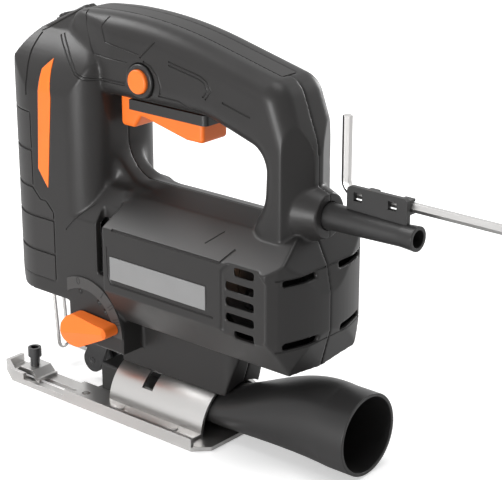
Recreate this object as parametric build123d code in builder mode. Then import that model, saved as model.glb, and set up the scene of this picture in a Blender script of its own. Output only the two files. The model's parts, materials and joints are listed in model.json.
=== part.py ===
"""Corded jigsaw with a D-handle, in millimetres.

X runs from the nose to the cable, Y from the tool's left to its right, Z up.
The sole stands on Z = 0, and the blade runs on the Z axis.
"""
import os
from math import atan, cos, pi, radians, sin, sqrt, tan

from build123d import *

# Fits
RUN = 0.05
SEAT = 0.2
MOVE = 0.5

# Housing shell
WALL = 2.4
PAD = 1.6
INSERT = 1.0
CREASE = 0.1

# Nose column, side view
NOSE_HALF = 27.0
NOSE_FLOOR = 52.0
CHIN_X = -20.0
LIP = (-32.0, 67.0)
BROW = (-27.0, 152.0)
NOSE_BULGE = (-34.0, 108.0)
CROWN = (-15.0, 184.0)
CROWN_BULGE = (-23.0, 170.0)
SLOPE_END = (9.0, 197.0)
NECK_X = 33.5
NECK_TOP = (31.5, 172.0)
NECK_LOW = (34.5, 122.0)
NECK_ROUND = 17.0
NECK_FLARE = (57.0, 115.3)
NECK_FLARE_BEND = (40.6, 119.4)
NECK_FLARE_TOP = (33.4, 133.0)
SHOULDER_Z = 150.0
SHOULDER_BULGE = (22.5, 171.0)
CROWN_HALF = 10.0
TOP_HALF = 3.0
NOSE_SIDE_FRONT = -7.0

# Gear case between nose and motor
CASE_TOP = 114.0
CASE_TOP_HALF = 15.0
CASE_SIDE_Z = 97.0
VENT_GAP_FRONT = 36.0
VENT_GAP_LOW = 71.0
VENT_GAP_TOP = 108.0
VENT_GAP_DEPTH = 21.0

# D-handle, corners of its side view and the bend radius at each
GRIP_HALF = 18.0
GRIP_ROUND = 9.5
GRIP_FRONT_HALF = 7.0
GRIP_TAPER = (16.0, 13.0)
GRIP_FULL_X = 40.0
COLUMN_CREASE_X = 144.0
COLUMN_SEAM_HALF = 3.0
GRIP_UNDER_Z = 158.0
GRIP_FRONT_X = 5.0
HANDLE_END_R = 11.8
GRIP_CREST = (58.0, 200.5)
GRIP_CREST_R = 240.0
HEEL = (141.0, 180.3)
HEEL_R = 13.0
COLUMN_REAR = (151.5, 152.0)
COLUMN_REAR_R = 30.0
COLUMN_FOOT_Z = 100.0
COLUMN_FLARE_X = 114.0
COLUMN_BEND = (130.5, 124.0)
COLUMN_BEND_R = 20.0
WINDOW_CORNER = (131.5, 147.3)
WINDOW_CORNER_R = 11.0
GRIP_UNDER_X = 97.0
GRIP_UNDER_R = 40.0
GRIP_FRONT_Z = 196.0

# Motor barrel
MOTOR_FRONT = 47.5
MOTOR_Z = 84.0
MOTOR_HALF = 34.5
ROOF_Z = 116.0
ROOF_EDGE = (14.0, 111.5)
SIDE_TOP_Z = 100.0
SIDE_LOW_Z = 68.0
KEEL_HALF = 24.0
KEEL_Z = 50.0
BELLY_Z = 47.0
CAP_CORNER_X = 153.0
CAP_CORNER_HALF = 30.0
CAP_SIDE_X = 149.0
CAP_REAR_X = 159.5
CAP_LIP_Z = 67.0
CAP_CHIN = (154.0, 47.0)
CAP_TOP = (157.0, 98.0)
CAP_NECK = (150.0, 112.0)

# Vent panel beside the brushes
VENT_FRONT = 122.5
VENT_REAR = 149.0
VENT_LOW = 63.0
VENT_HIGH = 101.0
VENT_RECESS = 1.2
VENT_CORNER = 5.0
VENT_SLOTS = 5
VENT_SLOT = 3.8
VENT_MARGIN = 2.5

# Air notches across the rear cap
NOTCH_Z = (65.0, 95.2)
NOTCH_TALL = 3.0
NOTCH_HALF = (8.0, 27.5)

# Foot over the saddle
FOOT_HALF = 13.0
FOOT_FRONT = 38.0
FOOT_REAR_LOW = 107.0
FOOT_REAR_HIGH = 114.0
FOOT_ROUND = 10.0

# Stroke selector
DIAL_X = 26.7
DIAL_Z = 41.0
DIAL_R = 26.0
DIAL_FRONT = 15.0
DIAL_FLOOR = 32.5
SCALE_WIDTH = 6.0
SCALE_THICK = 0.8
KNOB_ROUND = 8.5
KNOB_TIP = 24.0
KNOB_TIP_R = 3.0
KNOB_THICK = 10.0
KNOB_BEVEL = 1.6
KNOB_RIDGE = 4.0
KNOB_REST = 12.0
SELECTOR_R = 4.0
SELECTOR_END = 12.0

# Sole plate
SHEET = 2.0
SOLE_HALF = 35.0
SOLE_FRONT = -34.0
SOLE_REAR = 111.0
FLANGE_REAR = 104.0
FLANGE_TALL = 6.3
FLANGE_LOW = 3.0
FLANGE_STEP = 17.0
LIP_BACK = -13.0
PRONG_TIP_HALF = 28.0
PRONG_CORNER = -22.0
PRONG_GAP = 17.0
THROAT_HALF = 14.5
THROAT_FRONT = 11.0
THROAT_REAR = 21.0
ACCESS_FRONT = 46.0
ACCESS_REAR = 76.0
ACCESS_HALF = 17.0

# Fence bridge in each prong
RAIL_SLOT = (-25.0, 16.0)
RAIL_SLOT_Y = 26.75
RAIL_SLOT_WIDTH = 4.5
BRIDGE_X = -15.7
BRIDGE_Y = 24.0
BRIDGE_WIDTH = 13.0
BRIDGE_FLAT = 8.0
BRIDGE_RISE = 3.2
BRIDGE_SHEET = 1.7
BRIDGE_FOOT = 2.5
SCREW_R = 2.5
SCREW_HEAD_R = 3.5
SCREW_HEAD = 5.0
SCREW_TOP_Z = 17.0
SCREW_KEY = 4.0

# Saddle, the half pipe that the body tilts on
TILT_Z = 1.2
SADDLE_R = 23.5
SADDLE_SHEET = 1.5
SADDLE_FRONT = 38.0
SADDLE_REAR = 100.0
SADDLE_FOOT = 31.0
SADDLE_TEETH = (3.0, 8.0)
SADDLE_TOOTH = (2.0, 2.5)
TILT_SLOT_X = 61.0
TILT_SLOT = 7.0
TILT_SLOT_ANGLE = 54.0
TILT_BOLT_R = 3.0
TILT_WASHER = 3.0
TILT_WASHER_HALF = 8.0
TILT_HEAD_R = 5.0
TILT_HEAD = 4.0
TILT_BOLT_DEPTH = 14.0
RIVET_R = 2.2
RIVET_RISE = 0.8
RIVETS = (50.0, 86.0)
RIVET_Y = 27.5
RIVET_SHANK_R = 1.4
RAIL_HOLE = (22.0, 2.2)

# Dust way
DUCT_FRONT = 24.0
DUCT_HALF = 14.5
DUCT_TALL = 14.5
DUCT_WALL = 1.5
DUCT_OVERLAP = 8.0
TUBE_START = 84.0
TUBE_WALL = 1.8
TUBE_PLUG = (17.5, 9.2)
TUBE_NECK_X = 116.0
TUBE_NECK = (19.0, 12.3, 14.5)
TUBE_HUMP_X = 144.0
TUBE_HUMP = (19.5, 18.2, 20.0)
TUBE_STRAIGHT_X = 168.0
TUBE_MOUTH_X = 182.0
TUBE_MOUTH_R = 20.0
TUBE_MOUTH_Z = 20.6

# Blade support
FORK_PIVOT = (26.0, 45.0)
ROLLER_X = 9.0
ROLLER_Z = 10.5
ROLLER_R = 4.9
ROLLER_HALF = 3.6
ROLLER_GROOVE = 0.8
FORK_CHEEK = 2.4
FORK_BOSS_R = 6.4
FORK_HUB_R = 5.0
FORK_PIN_R = 2.0
ROLLER_PIN_R = 1.6
FORK_POCKET_FRONT = 8.0
FORK_POCKET_REAR = 33.0
FORK_POCKET_TOP = 51.0
FORK_PIN_HALF = 10.0
FORK_SLOT_TOP = 26.0

# Finger guard wire
GUARD_R = 1.0
GUARD_HALF = 3.2
GUARD_LOW = (-19.0, 9.0)
GUARD_TOP = (-23.4, 58.5)

# Drive
MODULE = 0.8
PINION_TEETH = 12
GEAR_TEETH = 42
PRESSURE = 25.0
ADDENDUM = 0.75
DEDENDUM = 1.0
SHAFT_NOSE_R = 2.8
BACKLASH = 0.12
GEAR_FRONT = 16.4
GEAR_WIDTH = 8.6
SHAFT_R = 4.0
SHAFT_REAR = 151.0
SPINDLE_R = 5.0
CRANK = 9.0
CRANK_PIN_R = 3.0
FRONT_BEARING_R = 11.0
REAR_BEARING_R = 9.5
REAR_BEARING_X = 142.0
BEARING_WIDTH = 6.0
FRAME_PLATE = 3.5
FRAME_LOW = 60.0
FRAME_WIDE_TOP = 88.0
FRAME_ARM = 8.0
FRAME_ARM_HALF = 11.0
FRAME_TOP = 144.0

# Plunger
PLUNGER_R = 5.0
BUSH_R = 8.5
PLUNGER_TOP = 160.0
CRANK_GAP = 0.4
GEAR_SIDE = 0.6
YOKE_HALF = 15.5
YOKE_TALL = 13.0
YOKE_FRONT = -7.0
YOKE_REAR = 9.0
CLAMP_R = 6.5
CLAMP_LOW = 30.0
CLAMP_TALL = 15.0
BLADE_SLOT = (8.4, 1.8)
BLADE_SLOT_DEPTH = 9.0
ROD_LOW = 40.0
YOKE_SLOT_DEPTH = 4.0
NOSE_PORT = (-11.0, 15.0)
NOSE_PORT_HALF = 11.0

# Motor parts
STATOR_R = 27.0
STATOR_BORE = 18.0
STATOR_FRONT = 77.0
STATOR_LENGTH = 42.0
CORE_GAP = 0.6
CORE_SLOTS = 12
CORE_SLOT = 2.4
CORE_SLOT_DEPTH = 6.0
FAN_X = 58.0
FAN_R = 25.0
FAN_DISC = 2.0
FAN_BLADES = 9
FAN_BLADE = (13.0, 1.6)
FAN_DEPTH = 10.0
COMMUTATOR_X = 124.0
COMMUTATOR_R = 11.0
COMMUTATOR_LENGTH = 13.0
BRUSH = (6.0, 8.0)
BRUSH_GAP = 0.3
BRUSH_LENGTH = 11.0
BRUSH_BOX_WALL = 1.2
BRUSH_PLATE_R = 26.0
BRUSH_PLATE_BORE = 14.0
RIB = 3.0

# Trigger, its frame, lock-on button and switch
TRIGGER_HALF = 9.0
TRIGGER_FRONT = 37.0
TRIGGER_REAR = 90.0
TRIGGER_LOW_Z = 143.0
TRIGGER_HOOK = 8.5
TRIGGER_HOLLOW = (50.0, 149.5)
TRIGGER_TAIL = 11.0
TRIGGER_ROUND = 2.2
TRIGGER_RIM = 2.0
TRIGGER_PIVOT = (42.0, 163.0)
TRIGGER_EAR_R = 3.6
TRIGGER_EAR_HALF = 5.0
TRIGGER_PIN_R = 1.5
TRIGGER_GAP = 2.0
TRIGGER_INSIDE = 2.0
FRAME_START = 46.0
FRAME_RIM = 2.6
FRAME_DROP = 5.0
LOCK_X = 59.5
LOCK_Z = 170.0
LOCK_R = 5.8
LOCK_PROUD = 3.0
LOCK_STEM = 2.5
LOCK_RIM = 1.0
COLLAR_R = 8.2
COLLAR_PROUD = 1.2
SWITCH = (72.0, 108.0, 168.8, 178.8)

# Speed wheel in the front slope
WHEEL = (-3.0, 181.5)
WHEEL_R = 10.0
WHEEL_HALF = 3.5
WHEEL_AXLE_R = 2.0
WHEEL_AXLE_HALF = 6.0
WHEEL_NOTCHES = 16
WHEEL_NOTCH_R = 0.8

# Cable gland, bend sleeve, key holder and hex key
GLAND_Z = 121.2
GLAND_FRONT = 146.0
GLAND_REAR = 158.0
GLAND_R = 14.6
GLAND_RIM_R = 10.4
BOOT_ROOT_R = 6.3
BOOT_NECK_R = 5.2
BOOT_END_R = 5.8
BOOT_BORE_R = 4.0
BOOT_INSIDE = 143.0
BOOT_NECK_X = 198.0
BOOT_END = 206.0
BOOT_FLANGE_R = 8.5
BOOT_FLANGE = 2.5
HOLDER = (168.0, 200.5)
HOLDER_TOP = 138.0
HOLDER_THICK = 2.4
HOLDER_CORNER = 2.5
HOLDER_WINDOW = (4.6, 4.0)
HOLDER_WINDOW_X = (174.0, 192.5)
KEY_FLATS = 4.0
KEY_Z = 133.5
KEY_REAR = 246.0
KEY_FRONT = 164.0
KEY_TOP = 168.0
KEY_BEND = 5.0
CLIP_WIDTH = 5.0
CLIP_FINGER = 1.3

# Nose pads, side inserts, badge plate and grip strip
PAD_TOP = 145.0
PAD_STEP_Z = 101.0
PAD_UPPER_X = -8.0
PAD_LOWER_X = 6.0
PAD_LOW = 60.0
PAD_NOTCHES = (74.0, 92.0, 107.0, 126.0)
PAD_NOTCH = 0.9
PAD_CORNER = 5.0
PAD_RIB_GAP = 1.6
ACCENT = ((-3.4, 117.2), (-0.7, 167.6), (4.8, 173.2), (7.4, 155.0), (3.2, 108.2))
BADGE = (52.5, 114.0, 74.5, 86.5)
BADGE_THICK = 1.0
BADGE_PROUD = 0.3
GRIP_STRIP_HALF = 5.0
GRIP_STRIP = 1.4
GRIP_STRIP_FRONT = 12.0
GRIP_STRIP_REAR = 134.0

# Housing screws: place in side view and half width of the shell there
SCREWS = ((118.0, 169.0, 18.0), (140.0, 140.0, 18.0), (-17.0, 150.0, 20.0), (-16.0, 80.0, 22.0))
SHELL_SCREW_R = 2.0
SHELL_HEAD_R = 3.6
SHELL_HEAD = 2.6
SHELL_HEAD_SINK = 5.0
SHELL_SCREW_LENGTH = 22.0
BOSS_R = 5.2

PINION_R = MODULE * PINION_TEETH / 2
GEAR_R = MODULE * GEAR_TEETH / 2
GEAR_Z = MOTOR_Z + PINION_R + GEAR_R
FAR = 300.0


def inset_outline(inset):
    """Move the outline of the open sketch inwards."""
    if inset:
        offset(amount=-inset, kind=Kind.INTERSECTION)


def nose_form(inset=0.0):
    """Nose column: side view, plan and front view cut out of one block."""
    with BuildPart() as form:
        with BuildSketch(Plane.XZ):
            with BuildLine():
                Polyline(NECK_LOW, (NECK_LOW[0], NOSE_FLOOR), (CHIN_X, NOSE_FLOOR), LIP)
                ThreePointArc(LIP, NOSE_BULGE, BROW)
                ThreePointArc(BROW, CROWN_BULGE, CROWN)
                Polyline(CROWN, SLOPE_END, NECK_TOP, NECK_LOW)
            make_face()
            inset_outline(inset)
        extrude(amount=NOSE_HALF, both=True)
        with BuildSketch(Plane.XY):
            with BuildLine():
                front = NOSE_BULGE[0] - CREASE
                ThreePointArc((NOSE_SIDE_FRONT, NOSE_HALF), (front, 0), (NOSE_SIDE_FRONT, -NOSE_HALF))
                FilletPolyline(
                    (NOSE_SIDE_FRONT, -NOSE_HALF),
                    (NECK_X, -NOSE_HALF),
                    (NECK_X, NOSE_HALF),
                    (NOSE_SIDE_FRONT, NOSE_HALF),
                    radius=NECK_ROUND,
                )
            make_face()
            inset_outline(inset)
        extrude(amount=FAR, mode=Mode.INTERSECT)
        with BuildSketch(Plane.YZ.offset(-FAR)):
            with BuildLine():
                top = SLOPE_END[1] + CREASE
                Polyline((0, 0), (NOSE_HALF, 0), (NOSE_HALF, SHOULDER_Z))
                ThreePointArc((NOSE_HALF, SHOULDER_Z), SHOULDER_BULGE, (CROWN_HALF, CROWN[1]))
                Polyline((CROWN_HALF, CROWN[1]), (TOP_HALF, top), (0, top))
                mirror(about=Plane.YZ)
            make_face()
            inset_outline(inset)
        extrude(amount=2 * FAR, mode=Mode.INTERSECT)
    return form.part


def case_form(inset=0.0):
    """Gear case between nose and motor, drawn along X."""
    with BuildPart() as form:
        with BuildSketch(Plane.YZ.offset(NOSE_SIDE_FRONT + inset)):
            with BuildLine():
                Polyline(
                    (0, CASE_TOP),
                    (CASE_TOP_HALF, CASE_TOP),
                    (NOSE_HALF, CASE_SIDE_Z),
                    (NOSE_HALF, NOSE_FLOOR),
                    (0, NOSE_FLOOR),
                )
                mirror(about=Plane.YZ)
            make_face()
            inset_outline(inset)
        extrude(amount=MOTOR_FRONT - NOSE_SIDE_FRONT - 2 * inset)
    return form.part


def flare_form():
    """Curved root between the neck's back and the motor's roof."""
    with BuildPart() as form:
        with BuildSketch(Plane.XZ):
            with BuildLine():
                ThreePointArc(NECK_FLARE, NECK_FLARE_BEND, NECK_FLARE_TOP)
                Polyline(
                    NECK_FLARE_TOP,
                    (NECK_X - NECK_ROUND / 2, NECK_FLARE_TOP[1]),
                    (NECK_X - NECK_ROUND / 2, ROOF_EDGE[1]),
                    (NECK_FLARE[0], ROOF_EDGE[1]),
                    NECK_FLARE,
                )
            make_face()
        extrude(amount=NOSE_HALF - NECK_ROUND, both=True)
    return form.part


def handle_form(inset=0.0):
    """D-handle with its rear column."""
    corners = (
        ((GRIP_FRONT_X, GRIP_UNDER_Z), HANDLE_END_R),
        ((GRIP_FRONT_X, GRIP_FRONT_Z), HANDLE_END_R),
        (GRIP_CREST, GRIP_CREST_R),
        (HEEL, HEEL_R),
        (COLUMN_REAR, COLUMN_REAR_R),
        ((COLUMN_REAR[0], COLUMN_FOOT_Z), HANDLE_END_R),
        ((COLUMN_FLARE_X, COLUMN_FOOT_Z), HANDLE_END_R),
        (COLUMN_BEND, COLUMN_BEND_R),
        (WINDOW_CORNER, WINDOW_CORNER_R),
        ((GRIP_UNDER_X, GRIP_UNDER_Z), GRIP_UNDER_R),
    )
    with BuildPart() as form:
        with BuildSketch(Plane.XZ):
            with BuildLine():
                FilletPolyline(*[at for at, _ in corners], radius=[r for _, r in corners], close=True)
            make_face()
            inset_outline(inset)
        extrude(amount=GRIP_HALF - inset, both=True)
        fillet(form.edges().filter_by(Axis.Y, reverse=True), radius=GRIP_ROUND - inset)
        # plan: narrow where it leaves the nose, and two flats that meet the seam behind
        with BuildSketch(Plane.XY):
            with BuildLine():
                ThreePointArc((0, GRIP_FRONT_HALF), GRIP_TAPER, (GRIP_FULL_X, GRIP_HALF))
                Polyline(
                    (GRIP_FULL_X, GRIP_HALF),
                    (COLUMN_CREASE_X, GRIP_HALF),
                    (COLUMN_REAR[0], COLUMN_SEAM_HALF),
                    (COLUMN_REAR[0], 0),
                    (0, 0),
                    (0, GRIP_FRONT_HALF),
                )
            make_face()
            mirror(about=Plane.XZ)
            inset_outline(inset)
        extrude(amount=FAR, mode=Mode.INTERSECT)
    return form.part


def motor_form(inset=0.0):
    """Motor barrel: its section drawn along X, cut by its side view and plan at the rear."""
    with BuildPart() as form:
        with BuildSketch(Plane.YZ.offset(MOTOR_FRONT + inset)):
            with BuildLine():
                Polyline(
                    (0, ROOF_Z),
                    ROOF_EDGE,
                    (MOTOR_HALF, SIDE_TOP_Z),
                    (MOTOR_HALF, SIDE_LOW_Z),
                    (KEEL_HALF, KEEL_Z),
                    (0, BELLY_Z),
                )
                mirror(about=Plane.YZ)
            make_face()
            inset_outline(inset)
        extrude(amount=CAP_REAR_X - MOTOR_FRONT)
        with BuildSketch(Plane.XY):
            with BuildLine():
                ThreePointArc(
                    (CAP_CORNER_X, CAP_CORNER_HALF), (CAP_REAR_X, 0), (CAP_CORNER_X, -CAP_CORNER_HALF)
                )
                Polyline(
                    (CAP_CORNER_X, -CAP_CORNER_HALF),
                    (CAP_SIDE_X, -MOTOR_HALF),
                    (0, -MOTOR_HALF),
                    (0, MOTOR_HALF),
                    (CAP_SIDE_X, MOTOR_HALF),
                    (CAP_CORNER_X, CAP_CORNER_HALF),
                )
            make_face()
            inset_outline(inset)
        extrude(amount=FAR, mode=Mode.INTERSECT)
        with BuildSketch(Plane.XZ):
            with BuildLine():
                Polyline(
                    (0, BELLY_Z - CREASE),
                    CAP_CHIN,
                    (CAP_REAR_X + CREASE, CAP_LIP_Z),
                    (CAP_REAR_X + CREASE, MOTOR_Z),
                    CAP_TOP,
                    CAP_NECK,
                    (CAP_NECK[0], ROOF_Z + CREASE),
                    (0, ROOF_Z + CREASE),
                    close=True,
                )
            make_face()
            inset_outline(inset)
        extrude(amount=FAR, both=True, mode=Mode.INTERSECT)
    return form.part


def foot_form():
    """Foot under the motor, hollowed to ride on the saddle."""
    with BuildPart() as form:
        with BuildSketch(Plane.XZ):
            Polygon(
                (FOOT_FRONT, TILT_Z),
                (FOOT_REAR_LOW - FOOT_HALF / 2, TILT_Z),
                (FOOT_REAR_LOW, SADDLE_R + TILT_Z),
                (FOOT_REAR_HIGH, BELLY_Z),
                (FOOT_REAR_HIGH, SIDE_LOW_Z),
                (FOOT_FRONT, SIDE_LOW_Z),
                align=None,
            )
        extrude(amount=FOOT_HALF, both=True)
        with BuildSketch(Plane.XY):
            with Locations(((FOOT_FRONT + FOOT_REAR_HIGH) / 2, 0)):
                block = Rectangle(FOOT_REAR_HIGH - FOOT_FRONT, FOOT_HALF * 2)
            fillet(block.vertices().group_by(Axis.X)[-1], radius=FOOT_ROUND)
        extrude(amount=FAR, mode=Mode.INTERSECT)
        with Locations(Location((0, 0, TILT_Z), (0, 90, 0))):
            Cylinder(SADDLE_R + SEAT, 2 * FAR, mode=Mode.SUBTRACT)
    return form.part


def dial_form():
    """Selector block that stands out beside the foot."""
    side = DIAL_X + DIAL_R
    rise = sqrt(DIAL_R**2 - (DIAL_X - DIAL_FRONT) ** 2)
    with BuildPart() as form:
        with BuildSketch(Plane.XZ):
            with BuildLine():
                Polyline(
                    (DIAL_FRONT, DIAL_Z + rise), (DIAL_FRONT, DIAL_FLOOR), (side, DIAL_FLOOR), (side, DIAL_Z)
                )
                ThreePointArc(
                    (side, DIAL_Z),
                    (DIAL_X + DIAL_R * cos(pi / 4), DIAL_Z + DIAL_R * sin(pi / 4)),
                    (DIAL_FRONT, DIAL_Z + rise),
                )
            make_face()
        extrude(amount=NOSE_HALF, both=True)
    return form.part


def along_y(x, z, y=0.0):
    """Place a cylinder's axis along Y."""
    return Location((x, y, z), (90, 0, 0))


def along_x(x, z, y=0.0):
    """Place a cylinder's axis along X."""
    return Location((x, y, z), (0, 90, 0))


def gear_profile(teeth, root_r, tip_r, backlash, turn):
    """Spur gear outline with involute flanks, drawn tooth by tooth."""
    pitch_r = MODULE * teeth / 2
    base_r = pitch_r * cos(radians(PRESSURE))
    half_tooth = pi / (2 * teeth) - backlash / pitch_r

    def flank(r):
        """Half angle of the tooth at radius r."""
        at_pitch = tan(radians(PRESSURE)) - radians(PRESSURE)
        ratio = max(r, base_r) / base_r
        slope = sqrt(ratio**2 - 1)
        roll = slope - atan(slope)
        return half_tooth + at_pitch - roll

    radii = (root_r, max(base_r, (root_r + pitch_r) / 2), pitch_r, (pitch_r + tip_r) / 2, tip_r)
    points = []
    for tooth in range(teeth):
        middle = 2 * pi * tooth / teeth + turn
        points += [(r * cos(middle - flank(r)), r * sin(middle - flank(r))) for r in radii]
        points += [(r * cos(middle + flank(r)), r * sin(middle + flank(r))) for r in reversed(radii)]
    Polygon(*points, align=None)


def span(x, y, z):
    """Box between the lowest and highest value on each axis."""
    with BuildPart() as block:
        with Locations(((x[0] + x[1]) / 2, (y[0] + y[1]) / 2, (z[0] + z[1]) / 2)):
            Box(x[1] - x[0], y[1] - y[0], z[1] - z[0])
    return block.part


def prism(points, half):
    """Side-view polygon drawn out to both sides."""
    with BuildPart() as block:
        with BuildSketch(Plane.XZ):
            Polygon(*points, align=None)
        extrude(amount=half, both=True)
    return block.part


def guard_form(radius):
    """Hairpin wire bent from one rod."""
    with BuildPart() as form:
        with BuildLine() as path:
            FilletPolyline(
                (GUARD_TOP[0], -GUARD_HALF, GUARD_TOP[1]),
                (GUARD_LOW[0], -GUARD_HALF, GUARD_LOW[1]),
                (GUARD_LOW[0], GUARD_HALF, GUARD_LOW[1]),
                (GUARD_TOP[0], GUARD_HALF, GUARD_TOP[1]),
                radius=GUARD_HALF - CREASE,
            )
        with BuildSketch(Plane(path.line @ 0, z_dir=path.line % 0)):
            Circle(radius)
        sweep()
    return form.part


# Whole housing before it is split
nose = nose_form()
handle = handle_form()
motor = motor_form()
nose_core = nose_form(PAD)

with BuildPart() as outer:
    add(nose)
    add(case_form())
    add(flare_form())
    add(motor)
    add(handle)
    add(foot_form())
    add(dial_form())
    with BuildSketch(Plane.XZ):
        Polygon(
            (GLAND_FRONT, GLAND_Z),
            (GLAND_FRONT, GLAND_Z + GLAND_R),
            (GLAND_REAR, GLAND_Z + GLAND_RIM_R),
            (GLAND_REAR, GLAND_Z),
            align=None,
        )
    revolve(axis=Axis((0, 0, GLAND_Z), (1, 0, 0)))

with BuildPart() as cavity:
    add(nose_form(WALL + PAD))
    add(case_form(WALL + PAD))
    add(handle_form(WALL))
    add(motor_form(WALL))

# Ribs that carry the motor, and bosses for the screws and the speed wheel
case_rear = MOTOR_FRONT - WALL - PAD
motor_inside = MOTOR_FRONT + WALL
rib_places = (STATOR_FRONT + RIB, STATOR_FRONT + STATOR_LENGTH - 2 * RIB)
pocket_half = ROLLER_HALF + FORK_CHEEK + 2 * MOVE
wheel_boss_r = WHEEL_AXLE_R * 2

with BuildPart() as ribs:
    for x in rib_places:
        add(span((x, x + RIB), (-FAR, FAR), (0, ROOF_EDGE[1])))
    with Locations(along_x(MOTOR_FRONT, MOTOR_Z)):
        Cylinder(STATOR_R + SEAT / 2, FAR, align=(Align.CENTER, Align.CENTER, Align.MIN), mode=Mode.SUBTRACT)
    add(span((REAR_BEARING_X, REAR_BEARING_X + BEARING_WIDTH), (-FAR, FAR), (0, ROOF_EDGE[1])))
    with Locations(along_x(REAR_BEARING_X, MOTOR_Z)):
        Cylinder(REAR_BEARING_R + RUN, FAR, mode=Mode.SUBTRACT)
    add(motor, mode=Mode.INTERSECT)

with BuildPart() as bosses:
    with Locations([along_y(x, z) for x, z, _ in SCREWS]):
        Cylinder(BOSS_R, FAR)
    with Locations(along_y(*WHEEL)):
        Cylinder(wheel_boss_r, FAR)
    add(span((-FAR, FAR), (-WHEEL_HALF - MOVE, WHEEL_HALF + MOVE), (WHEEL[1] - WHEEL_R, FAR)), mode=Mode.SUBTRACT)
    add(outer.part, mode=Mode.INTERSECT)

with BuildPart() as pad_zone:
    add(
        prism(
            (
                (-FAR, PAD_LOW),
                (PAD_LOWER_X, PAD_LOW),
                (PAD_LOWER_X, PAD_STEP_Z - PAD_CORNER),
                (PAD_LOWER_X - PAD_CORNER, PAD_STEP_Z),
                (PAD_UPPER_X + PAD_CORNER, PAD_STEP_Z),
                (PAD_UPPER_X, PAD_STEP_Z + PAD_CORNER),
                (PAD_UPPER_X, PAD_TOP),
                (-FAR, PAD_TOP),
            ),
            FAR,
        )
    )
    add(outer.part, mode=Mode.INTERSECT)
    add(nose_core, mode=Mode.SUBTRACT)

with BuildPart() as accents:
    add(prism(ACCENT, FAR))
    add(outer.part, mode=Mode.INTERSECT)
    add(nose_form(INSERT), mode=Mode.SUBTRACT)

with BuildPart() as strip_zone:
    add(span((GRIP_STRIP_FRONT, GRIP_STRIP_REAR), (-GRIP_STRIP_HALF, GRIP_STRIP_HALF), (HEEL[1] - GRIP_ROUND, FAR)))
    add(handle, mode=Mode.INTERSECT)
    add(handle_form(GRIP_STRIP), mode=Mode.SUBTRACT)

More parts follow.
